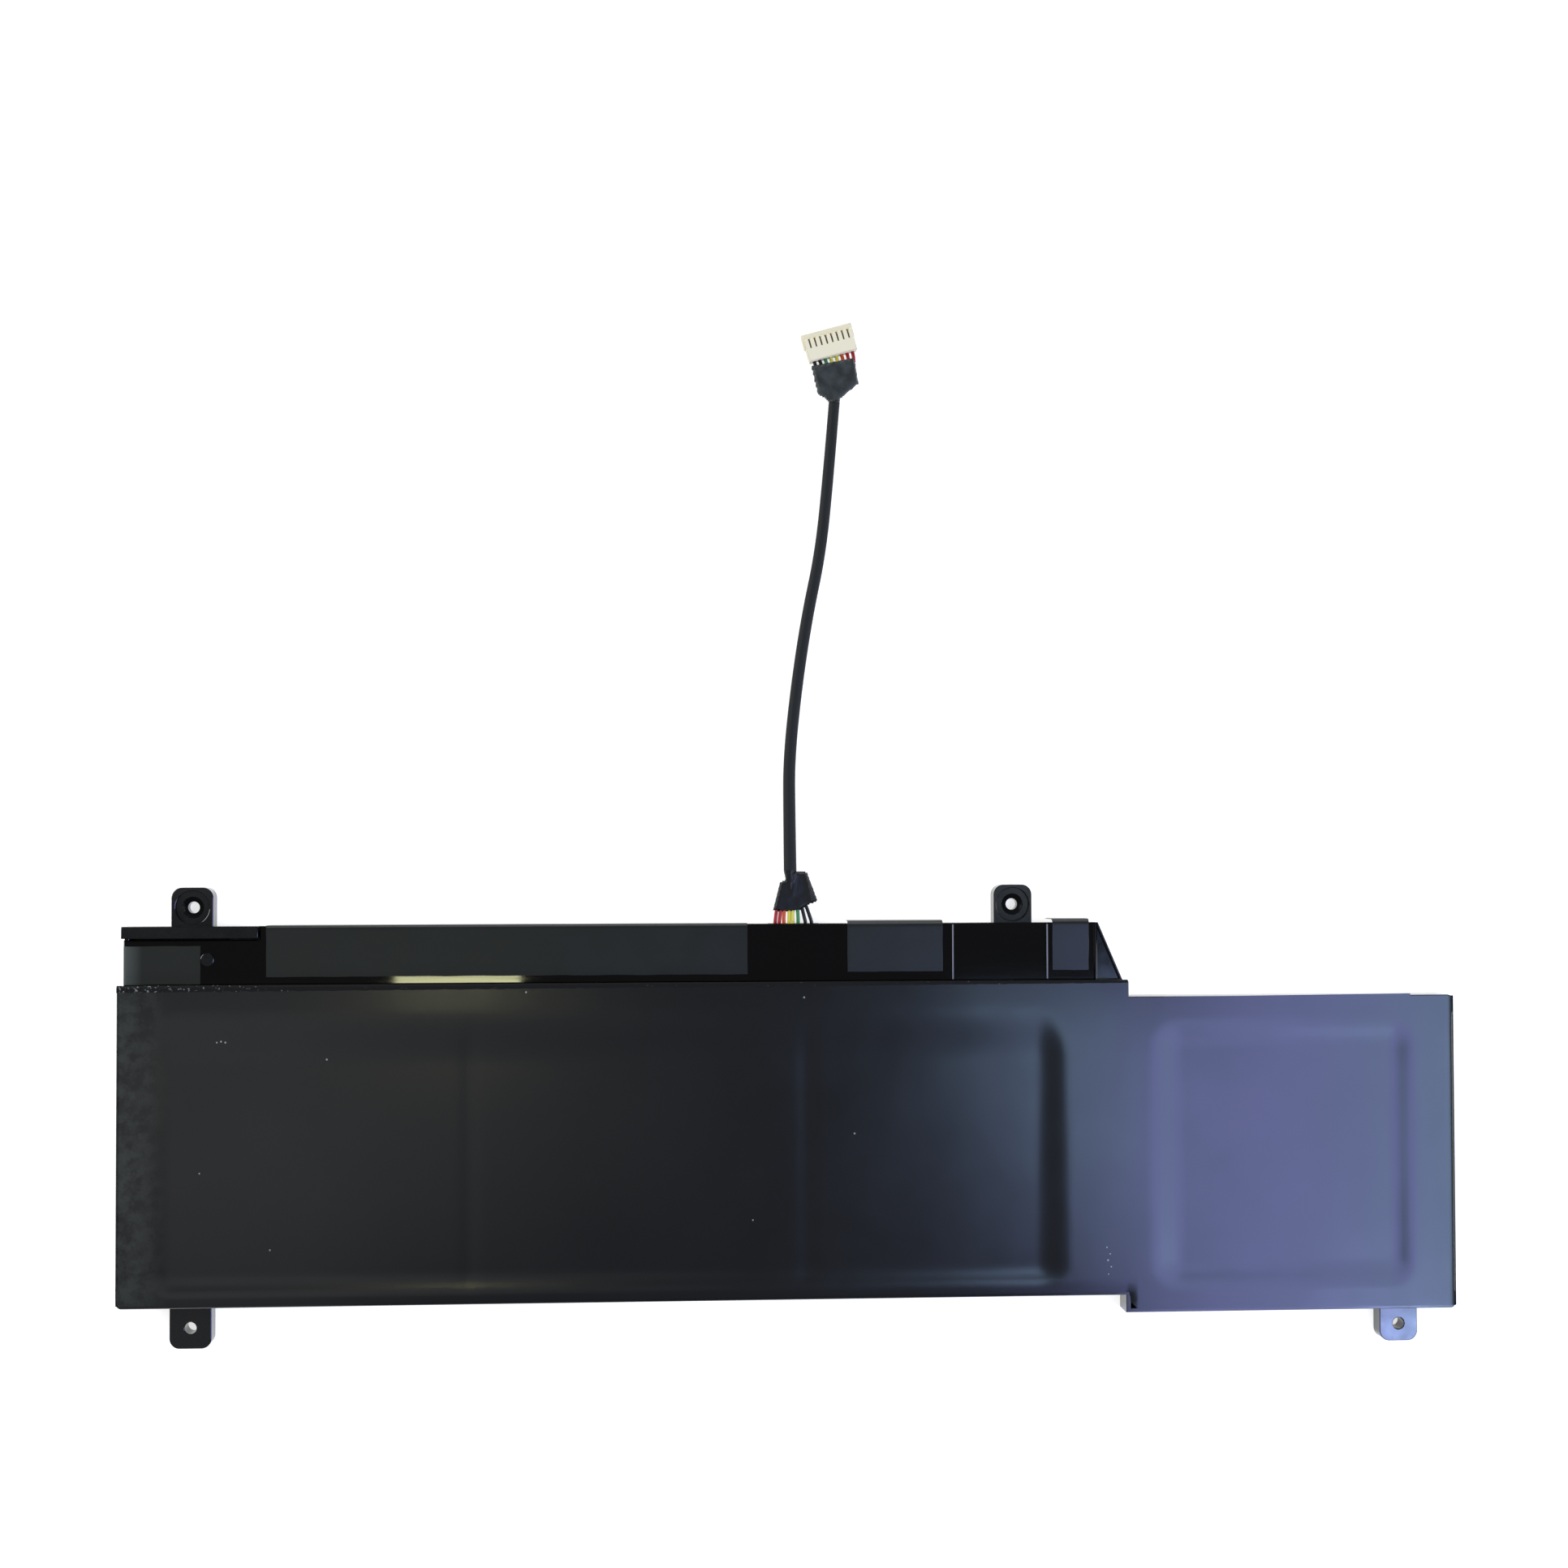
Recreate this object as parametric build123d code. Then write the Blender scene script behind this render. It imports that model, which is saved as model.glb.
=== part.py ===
"""Four-cell laptop battery pack: a moulded tray, pouch cells, a board rail and a lead with its plug.

The frame stands in the middle of the tray's underside: X runs along the pack, Y towards the
board rail and Z up to the film that covers the cells. All sizes are in millimetres.
"""

import math
import os

from build123d import *

# Pouch cells
cell_width = 59.2
cell_body_depth = 53.0
cell_thickness = 5.4
cell_corner_cut = 3.5        # cut corners of the pouch
shoulder_inset = 4.0
shoulder_drop = 1.75
terrace_depth = 5.5          # sealed edge that the tabs come out of
terrace_side_inset = 6.0
terrace_corner = 1.5
seal_gauge = 0.4
seal_fold_height = 3.2       # side seals, folded up against the body
pad_gauge = 0.15             # double-sided sheet under each cell
pad_margin = 6.0

# Cell places in the tray, from the walls and from each other
left_margin = 13.25
first_gap = 10.0
second_gap = 3.4
end_left_margin = 5.3
end_right_margin = 7.65
main_front_margin = 6.5
main_rear_clear = 2.1
end_front_margin = 8.6
end_rear_clear = 0.5
end_setback = 3.3            # the end section's rear wall stands this far in front of the rail
cell_clear = 0.4             # between a cell and the fences that locate it
cell_sunk = 0.4              # the cells lie this far below the tops of the tray's walls

# Moulded tray
wall = 1.0
floor = 0.8
tray_corner = 1.2
channel_width = 10.9         # open channel between the main bay and the end bay
channel_ribs = 3
channel_rib_pitch = 17.0
fence_length = 30.0
fence_height = 3.0

# Screw ears
ear_height = 4.4
ear_corner = 2.2
left_ear_width = 8.9
right_ear_width = 8.4
left_ears_from_end = 15.4
rear_right_ear_from_step = 25.1
end_ear_from_end = 12.3
rear_ear_reach = 8.3
rear_ear_hole = 4.0          # hole centre, from the wall that carries the ear
main_ear_reach = 9.0
main_ear_hole = 4.6
end_ear_reach = 7.5
end_ear_hole = 3.7
ear_hole_radius = 1.25
head_recess_radius = 3.6     # round recess for the screw's head, in the rear ears
head_recess_depth = 0.8
seat_radius = 2.35           # coned seat inside that recess
seat_depth = 1.1

# Protection board and its parts
board_width = 8.6
board_gauge = 0.8
board_seat = 0.8             # ribs that the board lies on
board_side_clear = 1.15
board_headroom = 2.0
board_left_over = 3.0        # the board runs this far past the first tab
strip_tab_clear = 4.7        # and past the last one, to where the strips are welded
seat_rib = 1.2
part_row_from_rear = 3.0     # centre of the row of parts, from the board's rear edge
fuse_size = (6.0, 3.0, 1.2)
fuse_from_left = 9.0         # gap from the board's left end; each later gap is from the part before
transistor_size = (5.0, 4.0, 1.0)
transistor_gap = 10.5
transistor_spacing = 3.0
shunt_size = (6.4, 3.2, 0.7)
shunt_gap = 8.3
gauge_chip_size = (7.0, 4.0, 1.0)
gauge_chip_gap = 9.3
chip_lead = (0.3, 0.5, 0.2)
chip_lead_count = 8
chip_lead_pitch = 0.8
capacitor_size = (1.6, 0.8, 0.8)
capacitor_gap = 5.7
capacitor_count = 5
capacitor_spacing = 1.4
thermistor_size = (2.4, 1.2, 1.0)
thermistor_gap = 8.0
part_edge = 0.15

# Tabs and the strips of the end cell
tab_width = 6.0
tab_gauge = 0.2
tab_offset = 14.0            # from the cell's middle
tab_landing = 3.0            # length of the weld on the board
notch_clear = 0.8
strip_width = 1.8
strip_gauge = 0.2
strip_gap = 0.3
strip_edge_clear = 0.35
strip_landing = 3.5
strip_end_over = 3.0         # a strip runs this far past the middle of its tab
fold_clear = 0.15

# Board rail and its cover
rail_inset = 1.1             # left end of the rail, inside the end of the pack
slope_start = 6.4            # slanted right end, from the step, at the outer face
slope_foot = 0.9             # and at the film
slope_wall = 0.5             # wall round the sunk panel in that end
slope_panel_depth = 1.0
cover_end_from_step = 7.1
cover_plate = 0.8
cover_edge = 0.25
cover_film_gap = 0.3
ledge_length = 28.4          # raised lip behind the rear left ear
ledge_depth = 2.6
ledge_height = 5.6
ledge_root = 1.0             # its foot, below the top of the rail's wall
ledge_overhang = 0.5
lip_depth = 1.0              # lips under the cover, inside the rail's walls
lip_gauge = 0.7
lip_clear = 0.3
cover_rib_width = 0.5
cover_rib_height = 0.3
cover_ribs_from_step = (38.45, 17.7)
stake_from_left = 18.8       # post of the tray, staked over the cover
stake_from_seam = 5.8
stake_radius = 1.0
stake_clear = 0.1
stake_head_radius = 1.45
stake_head_height = 0.5

# Film and tapes
film_gauge = 0.15
film_front_margin = 0.6
film_rear_margin = 0.2
film_cut = 3.0               # cut corner at the front of the step
film_skirt_foot = 1.5
film_skirt_margin = 4.0
film_slope = 4.4             # width of the slope from its border down to the cells
film_corner = 1.0            # round corners of its flat over the cells
film_dip = 0.1               # sag of the film between neighbouring cells
film_dip_run = 2.0
tape_gauge = 0.12
tape_drop_foot = 1.0         # lower edge of the tapes, on the rail's outer face
left_tape_length = 16.2
left_tape_from_seam = 0.5
left_tape_depth = 8.2
board_tape_from_left = 31.2
board_tape_exit_clear = 4.6
board_tape_depth = 10.9
middle_tape_exit_clear = 6.2
middle_tape_length = 20.85
middle_tape_depth = 10.5
right_tape_from_step = 16.5
right_tape_length = 8.0
right_tape_depth = 10.4

# Leads, from the middle of their exit in the rail's outer face
exit_from_step = 73.2
exit_width = 11.0
exit_sill = 2.0
lead_radius = 0.4
lead_inside = 5.0            # each lead starts this far inside the rail's outer face
leads = {
    # name: (X at the exit, X in the wrap), from the middle of the exit
    "lead_red_1": (-4.0, -3.4),
    "lead_red_2": (-3.15, -2.55),
    "lead_orange": (-2.0, -1.7),
    "lead_yellow_1": (-0.95, -0.85),
    "lead_yellow_2": (0.0, 0.0),
    "lead_green": (1.1, 0.85),
    "lead_black_1": (2.9, 1.75),
    "lead_black_2": (4.3, 2.65),
}
lead_end = 4.4               # each lead runs straight to this point inside the wrap

# Sleeve over the leads: its route, from the middle of the exit, with heights above the table
sleeve_radius = 1.3
arc_share = 0.45
sleeve_route = [
    (-0.60, 11.5, 2.75),
    (-0.75, 34.0, 1.36),
    (2.60, 61.0, 1.37),
    (6.90, 88.0, 1.38),
    (9.50, 114.5, 1.60),
]

# Tape flags folded round the leads, in plan from the middle of the exit
wrap_collar_radius = 1.5
lead_wrap_thickness = 1.5
lead_wrap_collar = 4.0
lead_wrap_plan = [
    (-2.84, 8.92),
    (-1.34, 9.71),
    (0.85, 11.32),
    (3.09, 11.13),
    (5.38, 4.90),
    (3.26, 3.97),
    (1.50, 2.86),
    (-4.41, 2.77),
]
plug_wrap_thickness = 2.2
plug_wrap_base = 0.5
plug_wrap_collar = 3.0
plug_wrap_plan = [
    (4.53, 122.62),
    (13.97, 124.55),
    (14.87, 118.87),
    (10.91, 115.53),
    (7.80, 115.41),
    (5.89, 116.49),
    (5.08, 120.05),
]
wrap_edge = 0.3

# Plug
plug_place = (8.37, 128.23)  # middle of its row of slots, from the middle of the exit
plug_turn = 15.5
plug_width = 10.9
plug_height = 3.2
plug_back = 3.6
plug_step = 1.3
plug_nose = 1.4
plug_nose_height = 2.2
plug_side_rib = 0.3
plug_side_rib_length = 3.2
plug_edge = 0.2
contact_pitch = 1.25
slot_width = 0.35
slot_back = 0.8
slot_depth = 0.6
slot_head_width = 0.8        # cross window over the contact's catch, at the front of each slot
slot_head_length = 0.3
contact_width = 0.25
contact_height = 0.25
lead_level = 1.6
lead_tail = 2.4              # leads run back this far from the plug, into the wrap

# Places that follow from the sizes above
main_length = (
    film_gauge + left_margin + 3 * cell_width + first_gap + second_gap
    + cell_clear + wall + channel_width + wall
)
pack_length = main_length + end_left_margin + cell_width + end_right_margin + film_gauge
main_depth = main_front_margin + cell_body_depth + terrace_depth + main_rear_clear + wall
end_depth = end_front_margin + cell_body_depth + terrace_depth + end_rear_clear + wall
rail_depth = 2 * wall + 2 * board_side_clear + board_width
pack_depth = rear_ear_reach + rail_depth + end_setback + end_depth + end_ear_reach

x_left = -pack_length / 2
x_right = pack_length / 2
x_step = x_left + main_length
x_tray_left = x_left + film_gauge
x_tray_right = x_right - film_gauge
y_rail = pack_depth / 2 - rear_ear_reach
y_seam = y_rail - rail_depth
y_front = y_seam - main_depth
y_end_rear = y_seam - end_setback
y_end_front = y_end_rear - end_depth

cell_lefts = [x_tray_left + left_margin]
cell_lefts.append(cell_lefts[0] + cell_width + first_gap)
cell_lefts.append(cell_lefts[1] + cell_width + second_gap)
cell_lefts.append(x_step + end_left_margin)
cell_fronts = [y_front + main_front_margin] * 3 + [y_end_front + end_front_margin]
x_bay_end = cell_lefts[2] + cell_width + cell_clear
x_channel = x_bay_end + wall

z_cell = floor + pad_gauge
z_cell_top = z_cell + cell_thickness
wall_height = z_cell_top + cell_sunk
z_board = floor + board_seat
z_board_top = z_board + board_gauge
z_tab = z_board_top + tab_gauge / 2
z_terrace_top = z_tab + seal_gauge / 2
rail_height = z_board_top + board_headroom
z_cover = rail_height + cover_plate
z_lead = z_board_top + lead_radius

x_rail = x_left + rail_inset
x_cover_end = x_step - cover_end_from_step
x_ledge_end = x_rail + ledge_length
y_rail_front = y_seam + wall
y_rail_rear = y_rail - wall
x_first_tab = cell_lefts[0] + cell_width / 2 - tab_offset - tab_width / 2
x_last_tab = cell_lefts[2] + cell_width / 2 + tab_offset + tab_width / 2
x_board = x_first_tab - board_left_over
x_strip_end = x_last_tab + strip_tab_clear
x_board_end = x_strip_end + strip_landing
y_board = y_rail_front + board_side_clear
y_part_row = y_board + board_width - part_row_from_rear
x_exit = x_step - exit_from_step
x_exit_left = x_exit - exit_width / 2
x_exit_right = x_exit + exit_width / 2

FROM_BELOW = (Align.CENTER, Align.CENTER, Align.MIN)


def area(x0, x1, y0, y1):
    """Flat rectangle between two corners."""
    return Pos((x0 + x1) / 2, (y0 + y1) / 2) * Rectangle(x1 - x0, y1 - y0)


def slab(sketch, z0, z1):
    """A flat shape made solid between two heights."""
    return Pos(0, 0, z0) * extrude(sketch, z1 - z0)


def block(x0, x1, y0, y1, z0, z1):
    """A box between two corners."""
    return slab(area(x0, x1, y0, y1), z0, z1)


def polygon(points):
    """Flat face inside a closed outline."""
    return make_face(Polyline(*points, close=True))


def rounded_area(x0, x1, y0, y1, radius):
    """Flat rectangle between two corners, with round corners."""
    return Pos((x0 + x1) / 2, (y0 + y1) / 2) * RectangleRounded(x1 - x0, y1 - y0, radius)


def edges_at(solid, height):
    """The level edges of a solid at one height."""
    return solid.edges().filter_by_position(Axis.Z, height - 0.001, height + 0.001)


# Tray

def ear(x, y_wall, toward, width, reach):
    """One screw ear: a block with two round corners, standing out from a wall."""
    root = wall / 2
    plan = Pos(0, (reach - root) / 2) * Rectangle(width, reach + root)
    plan = fillet(plan.vertices().sort_by(Axis.Y)[-2:], ear_corner)
    turn = 0 if toward > 0 else 180
    return Pos(x, y_wall) * Rot(0, 0, turn) * extrude(plan, ear_height)


def rear_ear_cut(x, y):
    """Screw hole of a rear ear: round recess, coned seat, then the plain hole."""
    z_recess = ear_height - head_recess_depth
    recess = Pos(x, y, z_recess) * Cylinder(head_recess_radius, ear_height, align=FROM_BELOW)
    seat = Pos(x, y, z_recess - seat_depth) * Cone(ear_hole_radius, seat_radius, seat_depth, align=FROM_BELOW)
    hole = Pos(x, y) * Cylinder(ear_hole_radius, ear_height, align=FROM_BELOW)
    return recess + seat + hole


def front_ear_cut(x, y):
    """Plain screw hole of a front ear."""
    return Pos(x, y) * Cylinder(ear_hole_radius, ear_height, align=FROM_BELOW)


def cell_fences(x, y):
    """Low ribs on the floor that locate one cell at its sides and its front."""
    x_middle = x + cell_width / 2
    y_middle = y + cell_body_depth / 2
    half = fence_length / 2
    outer = cell_clear + wall
    y0 = y_middle - half
    y1 = y_middle + half
    x1 = x + cell_width
    left = block(x - outer, x - cell_clear, y0, y1, floor, fence_height)
    right = block(x1 + cell_clear, x1 + outer, y0, y1, floor, fence_height)
    front = block(x_middle - half, x_middle + half, y - outer, y - cell_clear, floor, fence_height)
    return left + right + front


def rail_end():
    """Slanted end of the rail beyond the cover: a three-sided panel, sunk between its walls."""
    plan = polygon([
        (x_cover_end, y_seam),
        (x_cover_end, y_rail),
        (x_step - slope_start, y_rail),
        (x_step - slope_foot, y_seam),
    ])
    panel = offset(plan, -slope_wall, kind=Kind.INTERSECTION)
    return slab(plan, 0, z_cover) - slab(panel, z_cover - slope_panel_depth, z_cover)


def cell_tray():
    """The moulding that carries everything: floor, walls, cell bays, board rail and screw ears."""
    main_plan = area(x_tray_left, x_step, y_front, y_seam)
    end_plan = area(x_step - wall, x_tray_right, y_end_front, y_end_rear)
    main_plan = fillet(main_plan.vertices().group_by(Axis.X)[0].sort_by(Axis.Y)[0], tray_corner)
    end_plan = fillet(end_plan.vertices().group_by(Axis.X)[-1], tray_corner)
    tray = slab(main_plan, 0, wall_height) + slab(end_plan, 0, wall_height)
    tray += block(x_rail, x_cover_end, y_seam, y_rail, 0, rail_height)

    bays = block(x_tray_left + wall, x_bay_end, y_front + wall, y_seam - wall, floor, wall_height)
    bays += block(x_channel, x_step - wall, y_front + wall, y_seam - wall, floor, wall_height)
    bays += block(x_step, x_tray_right - wall, y_end_front + wall, y_end_rear - wall, floor, wall_height)
    bays += block(x_rail + wall, x_cover_end, y_rail_front, y_rail_rear, floor, rail_height)
    tray -= bays
    tray += rail_end()
    z_ledge = rail_height - ledge_root
    tray += block(x_rail - ledge_overhang, x_ledge_end, y_rail - ledge_depth, y_rail, z_ledge, ledge_height)

    for x, y in zip(cell_lefts, cell_fronts):
        tray += cell_fences(x, y)
    for rib in range(channel_ribs):
        y = y_front + (rib + 1) * channel_rib_pitch
        tray += block(x_channel, x_step - wall, y - wall / 2, y + wall / 2, floor, wall_height)
    for y in (y_board, y_board + board_width - seat_rib):
        tray += block(x_board, x_board_end, y, y + seat_rib, floor, z_board)

    x_stake = x_left + stake_from_left
    y_stake = y_seam + stake_from_seam
    tray += Pos(x_stake, y_stake, floor) * Cylinder(stake_radius, z_cover - floor, align=FROM_BELOW)
    tray += Pos(x_stake, y_stake, z_cover) * Cylinder(stake_head_radius, stake_head_height, align=FROM_BELOW)

    # Notches for the tabs, the strips and the leads
    z_notch = z_board_top - notch_clear / 2
    for x in cell_lefts[:3]:
        for side in (-1, 1):
            x_tab = x + cell_width / 2 + side * tab_offset
            half = tab_width / 2 + notch_clear
            tray -= block(x_tab - half, x_tab + half, y_seam - wall, y_rail_front, z_notch, wall_height)
    strips_width = 2 * strip_width + strip_gap + 2 * strip_edge_clear
    tray -= block(x_channel, x_channel + strips_width, y_seam - wall, y_rail_front, z_notch, wall_height)
    y_terrace = cell_fronts[3] + cell_body_depth
    tray -= block(x_step - wall, x_step, y_terrace, y_terrace + terrace_depth, z_notch, wall_height)
    tray -= block(x_exit_left, x_exit_right, y_rail_rear, y_rail, exit_sill, rail_height)

    x_left_ears = x_left + left_ears_from_end
    x_rear_right = x_step - rear_right_ear_from_step
    x_end_ear = x_right - end_ear_from_end
    tray += ear(x_left_ears, y_rail, 1, left_ear_width, rear_ear_reach)
    tray += ear(x_rear_right, y_rail, 1, right_ear_width, rear_ear_reach)
    tray += ear(x_left_ears, y_front, -1, left_ear_width, main_ear_reach)
    tray += ear(x_end_ear, y_end_front, -1, right_ear_width, end_ear_reach)
    tray -= rear_ear_cut(x_left_ears, y_rail + rear_ear_hole)
    tray -= rear_ear_cut(x_rear_right, y_rail + rear_ear_hole)
    tray -= front_ear_cut(x_left_ears, y_front - main_ear_hole)
    tray -= front_ear_cut(x_end_ear, y_end_front - end_ear_hole)
    return tray


# Cells, pads, tabs and strips

def raised_flat(plan, inset, drop, z_base, z_top):
    """Block with a flat top and straight sloped shoulders all round it."""
    body = slab(plan, z_base, z_top)
    top = body.faces().sort_by(Axis.Z)[-1]
    return chamfer(top.edges(), inset, drop, reference=top)


def pouch_cell(x, y):
    """Pouch cell: flat top, sloped shoulders, folded side seals and the terrace for its tabs."""
    y1 = y + cell_body_depth
    plan = area(x + seal_gauge, x + cell_width - seal_gauge, y, y1)
    plan = chamfer(plan.vertices(), cell_corner_cut)
    cell = raised_flat(plan, shoulder_inset, shoulder_drop, z_cell, z_cell_top)
    y_fold = y1 - cell_corner_cut
    for edge in (x, x + cell_width - seal_gauge):
        cell += block(edge, edge + seal_gauge, y + cell_corner_cut, y_fold, z_cell, z_cell + seal_fold_height)
    terrace = area(x + terrace_side_inset, x + cell_width - terrace_side_inset, y1, y1 + terrace_depth)
    terrace = chamfer(terrace.vertices().sort_by(Axis.Y)[-2:], terrace_corner)
    return cell + slab(terrace, z_terrace_top - seal_gauge, z_terrace_top)


def flat_top(x, y):
    """Corners of a cell's flat top."""
    inset = seal_gauge + shoulder_inset
    return (
        x + inset,
        x + cell_width - inset,
        y + shoulder_inset,
        y + cell_body_depth - shoulder_inset,
    )


def cell_pad(x, y):
    """Double-sided adhesive sheet between the tray's floor and a cell."""
    return slab(
        area(x + pad_margin, x + cell_width - pad_margin, y + pad_margin, y + cell_body_depth - pad_margin),
        floor,
        z_cell,
    )


def straight_tab(x, y):
    """Tab of a main-bay cell: from its terrace, through the wall, to its weld on the board."""
    y0 = y + cell_body_depth + terrace_depth
    plan = area(x - tab_width / 2, x + tab_width / 2, y0, y_board + tab_landing)
    return slab(plan, z_board_top, z_board_top + tab_gauge)


def strip_lane(lane):
    """Front edge of one of the two strip lanes on the end cell's terrace."""
    y_terrace = cell_fronts[3] + cell_body_depth
    return y_terrace + strip_edge_clear + lane * (strip_width + strip_gap)


def folded_tab(x, lane):
    """Tab of the end cell, folded back over the terrace onto its strip."""
    y0 = cell_fronts[3] + cell_body_depth + terrace_depth
    y_fold = y0 + fold_clear
    z_low = z_board_top
    z_high = z_terrace_top + strip_gauge
    section = polygon([
        (y0, z_low),
        (y_fold + tab_gauge, z_low),
        (y_fold + tab_gauge, z_high + tab_gauge),
        (strip_lane(lane), z_high + tab_gauge),
        (strip_lane(lane), z_high),
        (y_fold, z_high),
        (y_fold, z_low + tab_gauge),
        (y0, z_low + tab_gauge),
    ])
    return Pos(x - tab_width / 2, 0, 0) * extrude(Plane.YZ * section, tab_width)


def nickel_strip(lane, x_tab):
    """Formed strip from the end cell's terrace, down the channel and along the rail to the board."""
    x_end = x_tab + strip_end_over
    x_joggle = cell_lefts[3]
    y_lane = strip_lane(lane)
    x_lane = x_channel + strip_edge_clear + lane * (strip_width + strip_gap)
    y_rail_lane = y_board + strip_edge_clear + lane * (strip_width + strip_gap)
    z_low = z_board_top
    z_high = z_terrace_top
    run = strip_gauge + z_high - z_low
    joggle = polygon([
        (x_lane, z_low),
        (x_joggle - run, z_low),
        (x_joggle, z_high),
        (x_end, z_high),
        (x_end, z_high + strip_gauge),
        (x_joggle, z_high + strip_gauge),
        (x_joggle - run, z_low + strip_gauge),
        (x_lane, z_low + strip_gauge),
    ])
    strip = Pos(0, y_lane + strip_width, 0) * extrude(Plane.XZ * joggle, strip_width)
    up = area(x_lane, x_lane + strip_width, y_lane, y_rail_lane + strip_width)
    along = area(x_strip_end, x_lane + strip_width, y_rail_lane, y_rail_lane + strip_width)
    return strip + slab(up + along, z_low, z_low + strip_gauge)


# Protection board

def board_part(size, x):
    """A part on the board: a low block with its upper edges broken, from its left end."""
    length, depth, height = size
    plan = area(x, x + length, y_part_row - depth / 2, y_part_row + depth / 2)
    body = slab(plan, z_board_top, z_board_top + height)
    return chamfer(edges_at(body, z_board_top + height), part_edge)


def gauge_chip(x):
    """Gauge chip with a row of leads on each long side."""
    length, depth, _ = gauge_chip_size
    lead_length, lead_reach, lead_height = chip_lead
    chip = board_part(gauge_chip_size, x)
    first = x + length / 2 - (chip_lead_count - 1) * chip_lead_pitch / 2
    for side in (-1, 1):
        y = y_part_row + side * (depth / 2 + lead_reach / 2)
        for lead in range(chip_lead_count):
            place = Pos(first + lead * chip_lead_pitch, y, z_board_top)
            chip += place * Box(lead_length, lead_reach, lead_height, align=FROM_BELOW)
    return chip


def board_parts():
    """The row of parts along the board, each set off from the one before."""
    parts = {}
    x = x_board + fuse_from_left
    parts["board_fuse"] = board_part(fuse_size, x)
    x += fuse_size[0] + transistor_gap
    parts["charge_transistor"] = board_part(transistor_size, x)
    x += transistor_size[0] + transistor_spacing
    parts["discharge_transistor"] = board_part(transistor_size, x)
    x += transistor_size[0] + shunt_gap
    parts["sense_resistor"] = board_part(shunt_size, x)
    x += shunt_size[0] + gauge_chip_gap
    parts["gauge_chip"] = gauge_chip(x)
    x += gauge_chip_size[0] + capacitor_gap
    capacitors = []
    for _ in range(capacitor_count):
        capacitors.append(board_part(capacitor_size, x))
        x += capacitor_size[0] + capacitor_spacing
    parts["board_capacitors"] = Compound(children=capacitors)
    x += thermistor_gap - capacitor_spacing
    parts["thermistor"] = board_part(thermistor_size, x)
    return parts


# Rail cover, film and tapes

def board_cover():
    """Glossy strip over the board rail, with lips that sit inside the rail's walls."""
    y_cover = y_seam + cover_film_gap
    y_notch = y_rail - ledge_depth - lip_clear
    x_notch = x_ledge_end + lip_clear
    plan = polygon([
        (x_rail, y_cover),
        (x_cover_end, y_cover),
        (x_cover_end, y_rail),
        (x_notch, y_rail),
        (x_notch, y_notch),
        (x_rail, y_notch),
    ])
    cover = slab(plan, rail_height, z_cover)
    cover = chamfer(edges_at(cover, z_cover), cover_edge)
    z_lip = rail_height - lip_depth
    x_lip_end = x_cover_end - lip_clear
    y_lip = y_rail_front + lip_clear
    cover += block(x_rail + wall + lip_clear, x_lip_end, y_lip, y_lip + lip_gauge, z_lip, rail_height)
    y_lip = y_rail_rear - lip_clear
    cover += block(x_notch, x_lip_end, y_lip - lip_gauge, y_lip, z_lip, rail_height)
    for from_step in cover_ribs_from_step:
        x = x_step - from_step
        half = cover_rib_width / 2
        plan = area(x - half, x + half, y_cover + cover_edge, y_rail - cover_edge)
        rib = slab(plan, z_cover, z_cover + cover_rib_height)
        cover += chamfer(edges_at(rib, z_cover + cover_rib_height), cover_rib_width / 4)
    hole = Cylinder(stake_radius + stake_clear, z_cover, align=FROM_BELOW)
    return cover - Pos(x_left + stake_from_left, y_seam + stake_from_seam) * hole


def film_relief():
    """The film's upper face as a solid: flat border, sunk over the cells, dips between them."""
    x_film_step = x_step - film_rear_margin
    y0 = y_front + film_front_margin
    y1 = y_seam - film_rear_margin
    y0_end = y_end_front + film_front_margin
    y1_end = y_end_rear - film_rear_margin
    border = polygon([
        (x_tray_left, y0),
        (x_film_step, y0),
        (x_film_step, y0_end + film_cut),
        (x_film_step + film_cut, y0_end),
        (x_tray_right, y0_end),
        (x_tray_right, y1_end),
        (x_film_step, y1_end),
        (x_film_step, y1),
        (x_tray_left, y1),
    ])
    relief = slab(border, z_cell, wall_height + film_gauge)
    relief -= film_hollow(cell_lefts[0], cell_lefts[2], cell_fronts[0])
    relief -= film_hollow(cell_lefts[3], cell_lefts[3], cell_fronts[3])
    for left, right in zip(cell_lefts[:2], cell_lefts[1:3]):
        relief -= film_dip_cut(left + cell_width, right)
    return relief


def film_hollow(x_first, x_last, y):
    """Space above the film where it comes down from its border to the tops of a row of cells."""
    x0, _, y0, y1 = flat_top(x_first, y)
    _, x1, _, _ = flat_top(x_last, y)
    run = film_slope
    rim = rounded_area(x0 - run, x1 + run, y0 - run, y1 + run, film_corner + run)
    height = cell_sunk + wall
    hollow = mirror(raised_flat(rim, run, cell_sunk, 0, height), about=Plane.XY)
    return Pos(0, 0, z_cell_top + film_gauge + height) * hollow


def film_dip_cut(x0, x1):
    """Shallow valley where the film spans the gap between two cells."""
    middle = (x0 + x1) / 2
    half = (x1 - x0) / 2 + film_dip_run
    z_top = z_cell_top + film_gauge
    valley = polygon([
        (middle, z_top - film_dip),
        (middle + 2 * half, z_top + film_dip),
        (middle - 2 * half, z_top + film_dip),
    ])
    _, _, y0, y1 = flat_top(x0, cell_fronts[0])
    return Pos(0, y1, 0) * extrude(Plane.XZ * valley, y1 - y0)


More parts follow.
